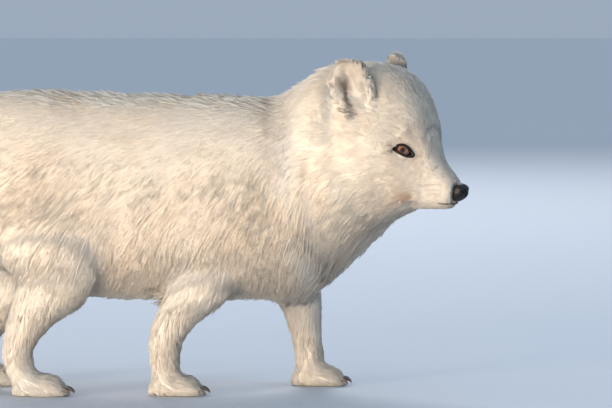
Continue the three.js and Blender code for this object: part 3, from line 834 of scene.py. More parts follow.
class Skin:
    """The skin and, at each of its vertices, all that the coat needs."""

    def __init__(self):
        points, triangles, owners = flesh_solids()
        self.outside = BVHTree.FromPolygons(points.tolist(), triangles.tolist())
        self.mesh = remeshed("skin_rough", points, triangles, VOXEL)
        refined(self.mesh)
        self.edges = edges_of(self.mesh)
        outer = points_of(self.mesh)
        ahead = to_straight(outer)[:, 0] - EYES_AT
        self.bare = np.clip((ahead - FACE_STARTS) / FACE_FADE, 0, 1)  # 1 on the face
        self.softly = 0.5 - FACE_FIRM * self.bare
        outer = spread(outer, self.edges, ROUNDS["shape"], self.softly)
        outer = spread(outer, self.edges, ROUNDS["flowing"], 0.5 * flowing(to_straight(outer)))
        self.label(outer, owners)
        self.comb(outer)
        self.sink(outer)
        self.measure_reach()

    def label(self, outer, owners):
        """Finds the group of body parts that each vertex belongs to."""
        owner = [owners[self.outside.find_nearest(p)[2]] for p in outer.tolist()]
        self.groups = np.array([group_of(FLESH[k]) for k in owner])

    def comb(self, outer):
        """Lays the coat's lie, length and depth over the surface."""
        move_points(self.mesh, outer)
        self.outer_normals = normals_of(self.mesh)
        places = to_straight(outer)
        lie, length, depth = lie_of_coat(places, self.outer_normals, self.groups)
        for node in EYES:
            gap = np.maximum(outside_lids(outer, node), 0)
            near = np.exp(-gap / LID_HAIR_FADE) * near_eye(outer, node, "comb")
            lie = lie + unit(outer - box_middle(node)) * (near * LID_HAIR_TURN)[:, None]
            length = length * (1 - LID_HAIR_SHORT * near)
            depth = depth * (1 - LID_HAIR_THIN * near)
        fields = np.column_stack([lie, length, depth])
        fields = spread(fields, self.edges, ROUNDS["comb"], self.softly)
        self.lie, self.length, self.depth = fields[:, :3], fields[:, 3], fields[:, 4]
        slit, _ = ear_slit(places)
        self.hollow = ear_hollow(places, self.outer_normals) * (self.groups == "ear") * (1 - slit)
        self.length *= 1 - SLIT_SHORT * slit

    def sink(self, outer):
        """Draws the surface in by the coat's depth, shapes the lids' surroundings and reads it back."""
        deep = np.where(self.groups == "tail", 0, self.depth)[:, None]
        deep = spread(deep, self.edges, ROUNDS["depth"])
        points = sink_tail(outer - self.outer_normals * deep * MM, to_straight(outer), self.groups)
        points = spread(points, self.edges, ROUNDS["skin"], 0.5 * (1 - self.bare))
        points = shorten_ears(points, to_straight(points), self.groups)
        for node in EYES:
            points = sink_under_lids(points, node)
        points = clear_of_nose(points)
        points[:, 2] = np.maximum(points[:, 2], SOLE * MM)
        move_points(self.mesh, points)
        self.points = points_of(self.mesh)
        self.normals = unit(spread(normals_of(self.mesh), self.edges, ROUNDS["normals"]))
        self.places = to_straight(self.points)
        along = (self.lie * self.normals).sum(axis=1, keepdims=True)
        self.lie = unit(self.lie - along * self.normals)
        self.triangles = triangles_of(self.mesh)
        self.tree = tree_of(self.points)

    def measure_reach(self):
        """How far the coat rises over the skin: to the solids' surface, in millimetres."""
        most = np.where(self.groups == "tail", TAIL_DEEPEST, self.depth * REACH_MOST)
        reach = self.depth.copy()
        for i, (point, normal) in enumerate(zip(self.points.tolist(), self.normals.tolist())):
            distance = self.outside.ray_cast(point, normal, REACH_FAR)[3]
            if distance is not None:
                reach[i] = distance / MM
        share = 0.5 - REACH_FIRM * self.bare
        self.reach = spread(np.minimum(reach, most), self.edges, ROUNDS["reach"], share)[:, 0]
        self.reach += self.hollow * EAR_FILL


def near_eye(points, node, purpose):
    """1 within the reach round an eye that this purpose has, and 0 beyond it."""
    return (np.linalg.norm(points - box_middle(node), axis=1) < EYE_REACH[purpose] * MM).astype(float)


def nose_gap(points):
    """How far each point is from the nose leather's solid, in millimetres."""
    return np.array([nose_tree.find_nearest(p)[3] for p in points.tolist()]) / MM


def clear_of_nose(points):
    """Draws the skin back from the nose leather."""
    back = NOSE_BACK * np.clip(1 - nose_gap(points) / NOSE_NEAR, 0, 1)[:, None]
    return points - head_way(1, 0, 0, 1) * back * MM


def sink_under_lids(points, node):
    """Keeps the skin a little under the lids, and behind the ball where the eye is open."""
    gap = outside_lids(points, node)
    out = eye_frame(node)[3]
    height = ((points - box_middle(node)) / MM) @ out
    near = (near_eye(points, node, "sink") > 0) & (height > 0)
    weight = np.clip(1 - np.maximum(gap, 0) / LID_WIDTH, 0, 1)
    weight = weight * weight * (3 - 2 * weight)
    target = height + (lid_height(points, node) - LID_THICK - height) * weight
    target = np.where(gap < 0, OPEN_EYE_LEVEL, target)
    moved = points + out * ((target - height) * MM)[:, None]
    return np.where(near[:, None], moved, points)


# ---- coat
def unrolled(places, groups):
    """Where straight places lie on the coat's own map: how far along their part, and how far round it."""
    spots = np.zeros((len(places), 2))
    lines = {"body": [BODY_LINE], "tail": [tail_line()], "leg": LEG_LINES, "ear": EAR_LINES}
    for group, choices in lines.items():
        own = groups == group
        if not own.any():
            continue
        part = places[own]
        found = [near_line(part, line) for line in choices]
        pick = np.argmin([gap for gap, _ in found], axis=0)
        for number, line in enumerate(choices):
            mine = pick == number
            where = found[number][1][mine]
            line = np.asarray(line, float)
            index, share = step_on(line, where)
            way = unit(np.diff(line, axis=0))[index]
            off = part[mine] - (line[index] + (line[index + 1] - line[index]) * share)
            side = unit(np.cross(way, UP_OR_AHEAD[group]))
            over = np.cross(side, way)
            turn = np.arctan2((off * side).sum(axis=1), (off * over).sum(axis=1)) / (2 * math.pi)
            rows = np.flatnonzero(own)[mine]
            spots[rows, 0] = where + (off * way).sum(axis=1) / MAP_PAST_END
            spots[rows, 1] = (number + 0.5 + turn * MAP_TURN) / len(choices)
    return spots


def scaled(values):
    """Values spread over the map, clear of its edge."""
    low, high = values.min(axis=0), values.max(axis=0)
    return MAP_EDGE + MAP_SPAN * (values - low) / np.maximum(high - low, 1e-6)


def doubled_areas(corners):
    """Twice the area of each triangle."""
    return np.linalg.norm(np.cross(corners[:, 1] - corners[:, 0], corners[:, 2] - corners[:, 0]), axis=1)


def roots_on(chosen, count):
    """Places evenly strewn over the chosen triangles: the corners round each, and its shares of them."""
    total = np.cumsum(doubled_areas(skin.points[skin.triangles[chosen]]))
    steps = (np.arange(count) + rng.random(count)) / count * total[-1]
    triangle = chosen[np.searchsorted(total, steps).clip(0, len(chosen) - 1)]
    share = rng.random((count, 2))
    share = np.where(share.sum(axis=1, keepdims=True) > 1, 1 - share, share)
    return skin.triangles[triangle], np.column_stack([1 - share.sum(axis=1), share])


def blended(values, corners, share):
    """The skin's values at places inside its triangles."""
    return np.einsum("ij,ijk->ik", share, values.reshape(len(values), -1)[corners])


def clear_of_bare_parts(points):
    """True where hair may root: off the nose, the lids' edges and the lips."""
    clear = nose_gap(points) > NOSE_BARE
    for node in EYES:
        clear &= ~((near_eye(points, node, "bare") > 0) & (outside_lids(points, node) < LID_BARE))
    for line in lip_lines:
        clear &= near_line(points / MM, line / MM)[0] > LIP_BARE
    return clear


def follow(points, lie, distance):
    """Moves points along the skin by their distances and gives the skin's nearest vertex there."""
    moved = points + lie * (distance * MM)[:, None]
    at = nearest_in(skin.tree, moved)
    lift = ((moved - skin.points[at]) * skin.normals[at]).sum(axis=1, keepdims=True)
    return moved - skin.normals[at] * lift, at


def strands(points, normals, lie, length, reach, rise, ragged):
    """Middles and tips of hair that starts at these points, with the skin vertices under them.

    Hair follows the skin, and hangs free where the skin turns away under it.
    """
    ground, at = follow(points, lie, length * 0.5)
    middle = ground + skin.normals[at] * (skin.reach[at] * rise * MID_RISE * MM)[:, None]
    onward = unit(lie + skin.lie[at])
    onward = unit(onward - (onward * skin.normals[at]).sum(axis=1, keepdims=True) * skin.normals[at])
    ground, last = follow(ground, onward, length * 0.5)
    tip = ground + skin.normals[last] * (skin.reach[last] * rise * MM)[:, None]
    straight = points + lie * (length * MM)[:, None] + normals * (reach * rise * HANG_RISE * MM)[:, None]
    turn = normals[:, 2] - skin.normals[last, 2]
    gain = HANG_GAIN + RAGGED_FREE * ragged
    downwards = np.clip(-lie[:, 2] * 2 - 0.4, 0, 1)
    free = np.clip(turn * gain, 0, HANG_MOST + RAGGED_MORE * ragged) * downwards
    return middle, tip + (straight - tip) * free[:, None], at, last


def turned(lie, normals, angle):
    """Turns directions about the normals."""
    side = np.cross(normals, lie)
    return lie * np.cos(angle)[:, None] + side * np.sin(angle)[:, None]


def raggedness(places):
    """1 along the middle of the chest and belly, where locks hang free, fading to either side."""
    gap, _ = near_line(places, RAGGED_LINE)
    return np.exp(-((gap / RAGGED_WIDE) ** 2))


def locks_over(chosen, spacing):
    """Locks strewn over the chosen triangles: their roots, middles, tips, sway and rise."""
    surface = doubled_areas(skin.points[skin.triangles[chosen]] / MM).sum() / 2
    count = max(int(surface / spacing**2), LOCKS_LEAST)
    corners, share = roots_on(chosen, count)
    root = blended(skin.points, corners, share)
    at = corners[:, 0]
    sway = rng.normal(0, LOCK_SWAY, count)
    lie = turned(skin.lie[at], skin.normals[at], sway)
    rise = rng.uniform(*LOCK_RISE, count)
    ragged = raggedness(skin.places[at])
    length = skin.length[at] * rng.uniform(*LOCK_LONG, count) * (1 + RAGGED_LONGER * ragged)
    middle, tip, _, _ = strands(root, skin.normals[at], lie, length, skin.reach[at], rise, ragged)
    return root, middle, tip, sway, rise


def grow(name, chosen, count, spacing, clump):
    """One piece of coat: locks over the chosen triangles, and tufts drawn towards the locks' tips."""
    on_head = name.startswith(("coat_face", "coat_head", "coat_ears"))
    corners, share = roots_on(chosen, count)
    points = blended(skin.points, corners, share)
    if name.startswith("coat_face"):
        keep = clear_of_bare_parts(points)
        corners, share, points = corners[keep], share[keep], points[keep]
    count = len(points)
    normals, lie, length, reach, places = (
        blended(values, corners, share)
        for values in (skin.normals, skin.lie, skin.length, skin.reach, skin.places)
    )
    normals, lie, length, reach = unit(normals), unit(lie), length[:, 0], reach[:, 0]

    lock_root, lock_middle, lock_tip, sway, lock_rise = locks_over(chosen, spacing)
    mine = nearest_in(tree_of(lock_root), points)
    rise = lock_rise[mine] * rng.uniform(*HAIR_RISE, count)
    stray = rng.random(count) < STRAYS
    rise *= np.where(stray, rng.uniform(*STRAY_RISE, count), 1.0)
    ragged = raggedness(places)
    hair = length * rng.uniform(*HAIR_LONG, count) * (1 + RAGGED_LONGER * ragged)
    lie = turned(lie, normals, sway[mine] * LOCK_LEADS + rng.normal(0, HAIR_SWAY, count))
    middle, tip, at, last = strands(points, normals, lie, hair, reach, rise, ragged)
    pull = (clump + RAGGED_CLUMP * ragged) * rng.uniform(*PULL_SPREAD, count)
    pull = np.clip(pull, 0, PULL_MOST)[:, None]
    beside = points - lock_root[mine]
    over = lock_tip[mine] + beside * TIP_BESIDE + (tip - lock_tip[mine]) * TIP_OWN
    tip = tip + (over - tip) * pull
    over = lock_middle[mine] + beside * MIDDLE_BESIDE
    middle = middle + (over - middle) * pull * 0.5
    middle[:, 2] = np.maximum(middle[:, 2], MIDDLE_CLEAR * MM)
    tip[:, 2] = np.maximum(tip[:, 2], TIP_CLEAR * MM)
    width = (WIDTH_LEAST + WIDTH_GAIN * hair) * rng.uniform(*WIDTH_SPREAD, count)
    width *= np.where(stray, STRAY_WIDTH, 1.0)
    tone = HEAD_TONE if on_head else LOCK_TONE
    colours = coat_colour(places) * (1 + rng.normal(0, HAIR_TONE, count))[:, None]
    colours *= (1 + rng.normal(0, tone, len(lock_root))[mine])[:, None]
    middle_normal = unit(skin.normals[at] + normals)
    soft = FACE_SHADE if on_head else SOFT_SHADE
    tip_normal = skin.normals[last]
    piece = tufts(name, points, normals, middle, middle_normal, tip, tip_normal, width, colours, soft)
    map_tufts(piece.data, scaled(unrolled(places, skin.groups[corners[:, 0]])))
    dress(piece, materials["winter_coat"], "coat")


# Each tuft has four corners: its root, the left and right of its widest place, and its tip.
TUFT_FACES = np.array([(0, 2, 1), (3, 1, 2), (0, 1, 3), (0, 3, 2)])
TUFT_MAP = np.array([(0, -0.5), (-0.5, 0), (0.5, 0), (0, 0.5)])
TUFT_PATCH = 0.003
TUFT_SHADE = (0.92, 1.0, 1.0, 1.04)  # the colour from root to tip
TUFT_DEEP = 0.4  # of its half width: the least that a tuft bows over the line from root to tip


def tufts(name, root, root_normal, middle, middle_normal, tip, tip_normal, width, colours, soft):
    """Thin closed tufts: pointed at root and tip, and widest where they bow up between them."""
    count = len(root)
    start = root - root_normal * ROOT_DEEP * MM
    way = unit(tip - start)
    across = unit(np.cross(way, middle_normal))
    up = unit(np.cross(across, way))
    half = (width * MM / 2)[:, None]
    bow = ((middle - (start + tip) / 2) * up).sum(axis=1, keepdims=True)
    middle = middle + up * np.maximum(half * TUFT_DEEP - bow, 0)
    points = np.stack([start, middle - across * half, middle + across * half, tip], axis=1)
    left = unit(middle_normal * soft - across)
    right = unit(middle_normal * soft + across)
    normals = np.stack([root_normal, left, right, tip_normal], axis=1)
    corners = TUFT_MAP.shape[0]
    faces = (TUFT_FACES[None] + corners * np.arange(count)[:, None, None]).reshape(-1, 3)
    piece = mesh_object(name, points.reshape(-1, 3), faces)
    tint = np.clip(colours[:, None, :] * np.array(TUFT_SHADE)[None, :, None], 0, 0.97)
    colour_vertices(piece.data, tint.reshape(-1, 3))
    layer = piece.data.attributes.new("custom_normal", "FLOAT_VECTOR", "POINT")
    layer.data.foreach_set("vector", normals.reshape(-1).astype(np.float32))
    return piece


def map_tufts(mesh, roots):
    """Gives each tuft its own small patch at its root's place on the map."""
    spots = np.clip(roots, 2 * TUFT_PATCH, 1 - 2 * TUFT_PATCH)
    corners = spots[:, None, :] + TUFT_MAP[None] * TUFT_PATCH
    per_face = corners[:, TUFT_FACES, :].reshape(-1)
    layer = mesh.uv_layers.new(name="OFBake")
    layer.data.foreach_set("uv", per_face.astype(np.float32))


# ---- materials
# Rows: name, roughness, specular level, the patches' scale and strength, and the grain's scale, strength
# and depth in metres.
GRAINED = (
    ("under_fur", 0.9, 0.1, 300.0, 0.10, 1400.0, 0.7, 0.0006),
    ("rim_leather", 0.42, 0.2, 900.0, 0.15, 2600.0, 0.12, 0.0002),
    ("eyeball", 0.15, 0.5, 900.0, 0.15, 2600.0, 0.12, 0.0002),
    ("iris", 0.5, 0.5, 900.0, 0.15, 2600.0, 0.12, 0.0002),
    ("claw_horn", 0.38, 0.4, 420.0, 0.25, 1600.0, 0.25, 0.0002),
)


def new_material(name, roughness, specular=0.5):
    """An empty material with one shader, whose plain values are set on its own sockets."""
    material = bpy.data.materials.new(name)
    material.use_nodes = True
    nodes = material.node_tree.nodes
    shader = nodes["Principled BSDF"]
    shader.inputs["Roughness"].default_value = roughness
    shader.inputs["Specular IOR Level"].default_value = specular
    return material, nodes, material.node_tree.links, shader


def noise(nodes, links, scale, detail=3.0):
    coordinates = nodes.new("ShaderNodeTexCoord")
    texture = nodes.new("ShaderNodeTexNoise")
    texture.inputs["Scale"].default_value = scale
    texture.inputs["Detail"].default_value = detail
    links.new(coordinates.outputs["Object"], texture.inputs["Vector"])
    return texture


def tinted(nodes, links, shader, scale, amount):
    """The mesh's own tint, a little lighter and darker by turns, as the shader's colour."""
    tint = nodes.new("ShaderNodeAttribute")
    tint.attribute_name = "tint"
    patches = noise(nodes, links, scale)
    span = nodes.new("ShaderNodeMapRange")
    span.inputs["To Min"].default_value = 1 - amount
    span.inputs["To Max"].default_value = 1 + amount
    links.new(patches.outputs["Fac"], span.inputs["Value"])
    times = nodes.new("ShaderNodeVectorMath")
    times.operation = "SCALE"
    links.new(tint.outputs["Color"], times.inputs[0])
    links.new(span.outputs["Result"], times.inputs["Scale"])
    links.new(times.outputs["Vector"], shader.inputs["Base Color"])


def bumped(nodes, links, shader, texture, strength, distance):
    bump = nodes.new("ShaderNodeBump")
    bump.inputs["Strength"].default_value = strength
    bump.inputs["Distance"].default_value = distance
    links.new(texture, bump.inputs["Height"])
    links.new(bump.outputs["Normal"], shader.inputs["Normal"])


def grained(name, roughness, specular, patch_scale, patch_amount, grain_scale, strength, depth):
    """A material in the mesh's own tint, with patches and a fine grain."""
    material, nodes, links, shader = new_material(name, roughness, specular)
    tinted(nodes, links, shader, patch_scale, patch_amount)
    grain = noise(nodes, links, grain_scale, 2.0)
    bumped(nodes, links, shader, grain.outputs["Fac"], strength, depth)
    return material


def make_coat_material():
    material, nodes, links, shader = new_material("winter_coat", 0.75, 0.25)
    shader.inputs["Sheen Weight"].default_value = 0.25
    shader.inputs["Sheen Roughness"].default_value = 0.5
    tinted(nodes, links, shader, 160.0, 0.05)
    through = nodes.new("ShaderNodeBsdfTranslucent")
    links.new(shader.inputs["Base Color"].links[0].from_socket, through.inputs["Color"])
    mixed = nodes.new("ShaderNodeMixShader")
    mixed.inputs["Fac"].default_value = LIGHT_THROUGH
    links.new(shader.outputs["BSDF"], mixed.inputs[1])
    links.new(through.outputs["BSDF"], mixed.inputs[2])
    links.new(mixed.outputs["Shader"], nodes["Material Output"].inputs["Surface"])
    return material


def make_leather_material():
    material, nodes, links, shader = new_material("nose_leather", 0.42, 0.22)
    tinted(nodes, links, shader, 500.0, 0.3)
    pebbles = nodes.new("ShaderNodeTexVoronoi")
    pebbles.inputs["Scale"].default_value = 1150.0
    coordinates = nodes.new("ShaderNodeTexCoord")
    links.new(coordinates.outputs["Object"], pebbles.inputs["Vector"])
    bumped(nodes, links, shader, pebbles.outputs["Distance"], 0.4, 0.0003)
    return material


def make_cornea_material():
    material, _, _, shader = new_material("cornea", 0.0, 0.5)
    shader.inputs["Transmission Weight"].default_value = 1.0
    shader.inputs["IOR"].default_value = 1.376
    return material


def wear(piece, material):
    piece.data.materials.append(material)


def dress(piece, material, slot, *nodes):
    """Gives a piece its material and body, and names the nodes that it takes the place of. slot is not used.
    """
    wear(piece, material)
    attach(piece, "root")
    if nodes:
        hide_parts(*nodes)


# ---- eyes
def ring_faces(rings, around):
    """Quads between rings of points, each of them against the next."""
    rows = np.arange(rings - 1)[:, None] * around
    here, there = np.arange(around), (np.arange(around) + 1) % around
    faces = np.stack([rows + here, rows + there, rows + around + there, rows + around + here], axis=-1)
    return faces.reshape(-1, 4)


def lathed(name, node_frame, profile, around, colour_at):
    """A form turned about the way an eye looks. A profile row is out and radius, in millimetres."""
    middle, across, up, out = node_frame
    profile = np.array(profile, float)
    turns = np.arange(around) * 2 * math.pi / around
    ring = np.cos(turns)[:, None] * across + np.sin(turns)[:, None] * up
    points = middle + (profile[:, 0, None, None] * out + profile[:, 1, None, None] * ring[None]) * MM
    piece = mesh_object(name, points.reshape(-1, 3), ring_faces(len(profile), around))
    colour_vertices(piece.data, colour_at(np.repeat(profile[:, 1], around), np.tile(turns, len(profile))))
    return piece


def gaze_frame(node):
    """The same for the way that an eye looks."""
    side = EYES[node]
    out = unit(head_way(*GAZE[node], side))
    across = across_from(out, side)
    return box_middle(node), across, np.cross(out, across), out


def iris_colour(radius, angle):
    """Orange brown with fine rays, darker at its rim and round the pupil."""
    rays = 0.5 + 0.25 * np.sin(angle * 23 + 2 * np.sin(angle * 5)) + 0.25 * np.sin(angle * 41 + 1.3)
    share = np.clip((radius - PUPIL) / (IRIS - PUPIL), 0, 1)[:, None]
    inner, outer = np.array(IRIS_INNER), np.array(IRIS_OUTER)
    colour = inner + (outer - inner) * share
    colour = colour * (0.7 + 0.5 * rays)[:, None]
    rim = np.clip((radius - IRIS + 0.9) / 0.9, 0, 1)[:, None]
    colour = colour * (1 - 0.85 * rim)
    return np.where((radius < PUPIL)[:, None], np.array(PUPIL_COLOUR), colour)


def make_eye(node):
    """An eyeball: the white with a hole, the iris and pupil behind it, and the clear front."""
    place = gaze_frame(node)
    edge = math.asin(IRIS / EYE_RADIUS)
    turns = np.linspace(edge, math.pi - 0.02, BALL_ROWS)
    ball_rows = [(EYE_RADIUS * math.cos(a), EYE_RADIUS * math.sin(a)) for a in turns]
    white = lathed(node + "_white", place, ball_rows, ROUND, lambda r, a: np.tile(WHITE_COLOUR, (len(r), 1)))
    iris_radii = np.linspace(IRIS + 0.25, PUPIL + 0.01, IRIS_ROWS)
    radii = np.concatenate([iris_radii, np.linspace(PUPIL - 0.01, 0.02, PUPIL_ROWS)])
    level = EYE_RADIUS * math.cos(edge)
    disc = [(level - IRIS_BACK - IRIS_DISH * (1 - r / IRIS), r) for r in radii]
    iris = lathed(node + "_iris", place, disc, IRIS_ROUND, iris_colour)
    rim = IRIS + CORNEA_PAST
    bulge = rim / math.sin(CORNEA_SPAN)
    base = math.sqrt(EYE_RADIUS**2 - rim**2) + 0.05
    spans = np.linspace(0.01, CORNEA_SPAN, CORNEA_ROWS)
    dome = [(base + bulge * (math.cos(a) - math.cos(CORNEA_SPAN)), bulge * math.sin(a)) for a in spans]
    clear = lathed(node + "_cornea", place, dome, ROUND, lambda r, a: np.ones((len(r), 3)))
    for piece, material in ((white, "eyeball"), (iris, "iris"), (clear, "cornea")):
        dress(piece, materials[material], "eye", node)


def tube(path, radius, around):
    """Rings round a path of points, in metres. radius has one value a point."""
    path = np.asarray(path, float)
    way = unit(np.gradient(path, axis=0))
    side = unit(np.cross(way, np.array([0.12, 0.2, 1.0])))
    over = np.cross(side, way)
    turns = np.arange(around) * 2 * math.pi / around
    ring = np.cos(turns)[:, None] * side[:, None, :] + np.sin(turns)[:, None] * over[:, None, :]
    points = path[:, None, :] + ring * np.asarray(radius)[:, None, None]
    return points.reshape(-1, 3), ring_faces(len(path), around)


def add_plain(name, surface, colour, material, slot):
    """A piece of one colour from its points and faces."""
    piece = mesh_object(name, *surface)
    colour_vertices(piece.data, np.tile(colour, (len(surface[0]), 1)))
    dress(piece, materials[material], slot)


def make_rim(node):
    """The black edge of the lids, thickest at the inner corner."""
    middle, across, up, out = eye_frame(node)
    turn = np.arange(RIM_STEPS) * 2 * math.pi / RIM_STEPS
    along = np.cos(turn)
    above = np.where(np.sin(turn) >= 0, lid_edge(along, UPPER_LID), lid_edge(along, LOWER_LID))
    tilt = math.radians(LID_TILT)
    u = along * LID_HALF * math.cos(tilt) + above * math.sin(tilt) + LID_MIDDLE[0]
    v = above * math.cos(tilt) - along * LID_HALF * math.sin(tilt) + LID_MIDDLE[1]
    flat = middle + (u[:, None] * across + v[:, None] * up) * MM
    loop = flat + out * (lid_height(flat, node) * MM)[:, None]
    radius = (RIM_THIN + (RIM_THICK - RIM_THIN) * np.clip(along, 0, 1) ** 2) * MM
    add_plain(node + "_rim", tube(np.vstack([loop, loop[:2]]), np.append(radius, radius[:2]), 10),
              RIM_COLOUR, "rim_leather", "nose_leather")


# ---- nose, lips, whiskers and claws
def make_nose():
    """The nose leather: the solid smoothed, with nostrils, side slits and the groove below."""
    mesh = remeshed("nose_rough", *welded("nose"), NOSE_VOXEL)
    points = spread(points_of(mesh), edges_of(mesh), ROUNDS["nose"])
    move_points(mesh, points)
    normals = normals_of(mesh)
    ways = np.array([head_way(1, 0, 0, 1), head_way(0, 1, 0, 1), head_way(0, 0, 1, 1)])
    local = (points - box_middle("nose")) @ ways.T / MM
    gap, where = near_line(to_both_sides(local), NOSTRIL)
    hole = np.exp(-((gap / (NOSTRIL_WIDE * (1 - 0.55 * where))) ** 2)) * (NOSTRIL_DEEP * (1 - 0.5 * where))
    front = np.clip((local[:, 0] - 1) / 3, 0, 1)
    below = np.clip(-local[:, 2] / 3, 0, 1)
    groove = np.exp(-((local[:, 1] / GROOVE_WIDE) ** 2)) * below * front * GROOVE_DEEP
    move_points(mesh, points + normals * ((NOSE_FULL - hole - groove) * MM)[:, None])
    piece = linked("nose_leather", mesh)
    shade(mesh)
    # painted shade: the leather darkens the deeper the nostrils go
    colours = np.tile(LEATHER_COLOUR, (len(points), 1)) * (1 - 0.85 * np.clip(hole / 1.5, 0, 1))[:, None]
    colour_vertices(mesh, colours)
    dress(piece, materials["nose_leather"], "nose_leather", "nose")


def lip_path(side):
    """The line of the closed mouth on one side, laid on the skin."""
    rough = np.array([head_place(*place, side) for place in MOUTH_LINE])
    share = np.linspace(0, len(rough) - 1, LIP_STEPS)
    path = np.column_stack([np.interp(share, np.arange(len(rough)), rough[:, k]) for k in range(3)])
    laid = []
    for point in path:
        spot, normal, _, _ = skin_tree.find_nearest(Vector(point))
        laid.append(np.array(spot + normal * LIP_PROUD * MM))
    laid = np.array(laid)
    for _ in range(ROUNDS["lips"]):
        laid[1:-1] = (laid[:-2] + laid[1:-1] * 2 + laid[2:]) / 4
    return laid


def make_lips():
    """A thin dark line along each side of the closed mouth."""
    parts = []
    for line in lip_lines:
        share = np.linspace(0, 1, len(line))
        parts.append(tube(line, LIP_RADIUS * MM * np.interp(share, *LIP_TAPER), 8))
    add_plain("lips", joined(parts), LIP_COLOUR, "rim_leather", "nose_leather")


def make_whiskers():
    """Stiff hairs in rows on the whisker pads, over the eyes and on the cheeks."""
    parts = []
    share = np.linspace(0, 1, WHISKER_STEPS)
    for side in (-1, 1):
        for forward, aside, up, length, way in WHISKERS:
            spot, normal, _, _ = skin_tree.find_nearest(Vector(head_place(forward, aside, up, side)))
            out = unit(np.array(normal))
            lean = unit(head_way(*way, side) + out * WHISKER_STANDS + rng.normal(0, WHISKER_STRAYS, 3))
            sag = np.array([0, 0, -1.0]) * WHISKER_SAG
            back = head_way(-1, 0, 0, side) * WHISKER_BACK
            path = np.array(spot) + (lean * share[:, None] + (sag + back) * share[:, None] ** 2) * length * MM
            parts.append(tube(path, WHISKER_RADIUS * MM * (1.02 - share), 5))
    add_plain("whiskers", joined(parts), WHISKER_COLOUR, "winter_coat", "coat")


def make_claws():
    """All the claws, rounded, as one piece."""
    names = sorted(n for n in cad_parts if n.startswith("claw_"))
    claws = mesh_object("claws", *joined([welded(name) for name in names]))
    smooth = claws.modifiers.new("smooth", "SUBSURF")
    smooth.levels = 2
    graph = bpy.context.evaluated_depsgraph_get()
    rounded = bpy.data.meshes.new_from_object(claws.evaluated_get(graph))
    claws.modifiers.clear()
    claws.data = rounded
    colour_vertices(rounded, np.tile(CLAW_COLOUR, (len(rounded.vertices), 1)))
    dress(claws, materials["claw_horn"], "claw", *names)


# ---- stage
def look_at(thing, place, target):
    thing.location = place
    thing.rotation_euler = (Vector(target) - Vector(place)).to_track_quat("-Z", "Y").to_euler()


def add_camera():
    data = bpy.data.cameras.new("camera")
    data.lens = CAMERA_LENS
    data.sensor_width = CAMERA_SENSOR
    data.clip_end = CAMERA_FAR
    camera = linked("camera", data)
    look_at(camera, CAMERA_PLACE, CAMERA_TARGET)
    bpy.context.scene.camera = camera
    bpy.context.scene.view_settings.view_transform = "Standard"


def add_light(name, place, width, height, power, colour):
    data = bpy.data.lights.new(name, "AREA")
    data.shape = "ELLIPSE"
    data.size = width
    data.size_y = height
    data.energy = power
    data.color = colour
    look_at(linked(name, data), place, LIGHTS_AIM)


def add_world():
    """A soft sky, dimmer and greyer towards the horizon."""
    world = bpy.data.worlds.new("studio")
    world.use_nodes = True
    nodes, links = world.node_tree.nodes, world.node_tree.links
    background = nodes["Background"]
    background.inputs["Strength"].default_value = SKY_STRENGTH
    way = nodes.new("ShaderNodeTexCoord")
    parts = nodes.new("ShaderNodeSeparateXYZ")
    ramp = nodes.new("ShaderNodeValToRGB")
    ramp.color_ramp.elements[0].color = (*SKY_LOW, 1)
    ramp.color_ramp.elements[1].color = (*SKY_HIGH, 1)
    ramp.color_ramp.elements[1].position = SKY_TOP
    links.new(way.outputs["Generated"], parts.inputs["Vector"])
    links.new(parts.outputs["Z"], ramp.inputs["Fac"])
    links.new(ramp.outputs["Color"], background.inputs["Color"])
    bpy.context.scene.world = world


def add_floor():
    """A wide floor that pales away from the fox, so that it ends as pale as the sky."""
    corners = [(x * FLOOR_SPAN, y * FLOOR_SPAN, 0) for x, y in ((-1, -1), (1, -1), (1, 1), (-1, 1))]
    floor = mesh_object("floor", corners, [(0, 1, 2, 3)], smooth=False)
    material, nodes, links, shader = new_material("pale_floor", 0.85, 0.2)
    place = nodes.new("ShaderNodeTexCoord")
    away = nodes.new("ShaderNodeVectorMath")
    away.operation = "LENGTH"
    fade = nodes.new("ShaderNodeMapRange")
    fade.interpolation_type = "SMOOTHSTEP"
    fade.inputs["From Min"].default_value = FLOOR_FADE[0]
    fade.inputs["From Max"].default_value = FLOOR_FADE[1]
    ramp = nodes.new("ShaderNodeValToRGB")
    ramp.color_ramp.elements[0].color = (*FLOOR_NEAR, 1)
    ramp.color_ramp.elements[1].color = (*FLOOR_FAR, 1)
    links.new(place.outputs["Object"], away.inputs[0])
    links.new(away.outputs["Value"], fade.inputs["Value"])
    links.new(fade.outputs["Result"], ramp.inputs["Fac"])
    links.new(ramp.outputs["Color"], shader.inputs["Base Color"])
    wear(floor, material)


# ---- build
nose_tree = BVHTree.FromPolygons(*[part.tolist() for part in welded("nose")])
skin = Skin()
skin_tree = BVHTree.FromPolygons(skin.points.tolist(), skin.triangles.tolist())
lip_lines = [lip_path(side) for side in (-1, 1)]

materials = {row[0]: grained(*row) for row in GRAINED}
materials["winter_coat"] = make_coat_material()
materials["nose_leather"] = make_leather_material()
materials["cornea"] = make_cornea_material()


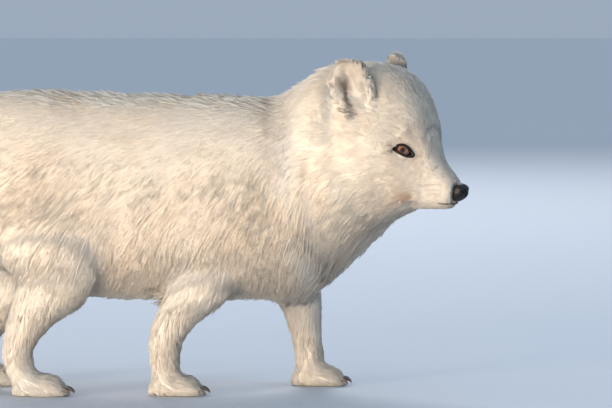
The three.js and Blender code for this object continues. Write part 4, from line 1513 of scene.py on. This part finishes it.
def add_skin():
    """The skin as a piece, in the coat's colours, dark round the lids."""
    body = linked("skin", skin.mesh)
    shade(skin.mesh)
    colours = coat_colour(skin.places) * SKIN_SHADE
    for node in EYES:
        dark = near_eye(skin.points, node, "dark") * np.clip(1.6 - outside_lids(skin.points, node), 0, 1)
        colours += (np.array(RIM_COLOUR) - colours) * dark[:, None]
    colour_vertices(skin.mesh, colours)
    dress(body, materials["under_fur"], "coat", *FLESH)


def add_coat():
    """The coat in pieces by region, each well under the most faces a piece may have."""
    place = skin.places[skin.triangles].mean(axis=1)
    group = skin.groups[skin.triangles[:, 0]]
    along, forward = place[:, 0], place[:, 0] - EYES_AT
    body = group == "body"
    face = body & (forward > FACE_BACK)
    head = body & (forward <= FACE_BACK) & (forward > HEAD_BACK)
    trunk = body & (along <= NECK_BACK)
    regions = (  # name, triangles, tufts, how far apart locks are, and how far tufts are drawn to them
        ("coat_face_right", face & (place[:, 1] < 0), 37000, 3.6, 0.4),
        ("coat_face_left", face & (place[:, 1] >= 0), 37000, 3.6, 0.4),
        ("coat_head", head, 46000, 5.0, 0.35),
        ("coat_ears", group == "ear", 26000, 3.5, 0.25),
        ("coat_neck", body & (forward <= HEAD_BACK) & (along > NECK_BACK), 48000, 10.0, 0.3),
        ("coat_shoulders", trunk & (along > SHOULDERS_BACK), 48000, 9.0, 0.18),
        ("coat_flanks", trunk & (along <= SHOULDERS_BACK) & (along > FLANKS_BACK), 45000, 9.0, 0.15),
        ("coat_hindquarters", trunk & (along <= FLANKS_BACK), 45000, 9.0, 0.2),
        ("coat_legs", group == "leg", 30000, 6.0, 0.35),
        ("coat_tail", group == "tail", 13000, 9.0, 0.3),
    )
    for name, inside, count, spacing, clump in regions:
        grow(name, np.flatnonzero(inside), count, spacing, clump)


add_skin()
for eye in EYES:
    make_eye(eye)
    make_rim(eye)
make_nose()
make_lips()
make_whiskers()
make_claws()
add_coat()
add_camera()
add_world()
add_floor()
for row in LIGHTS:
    add_light(*row)
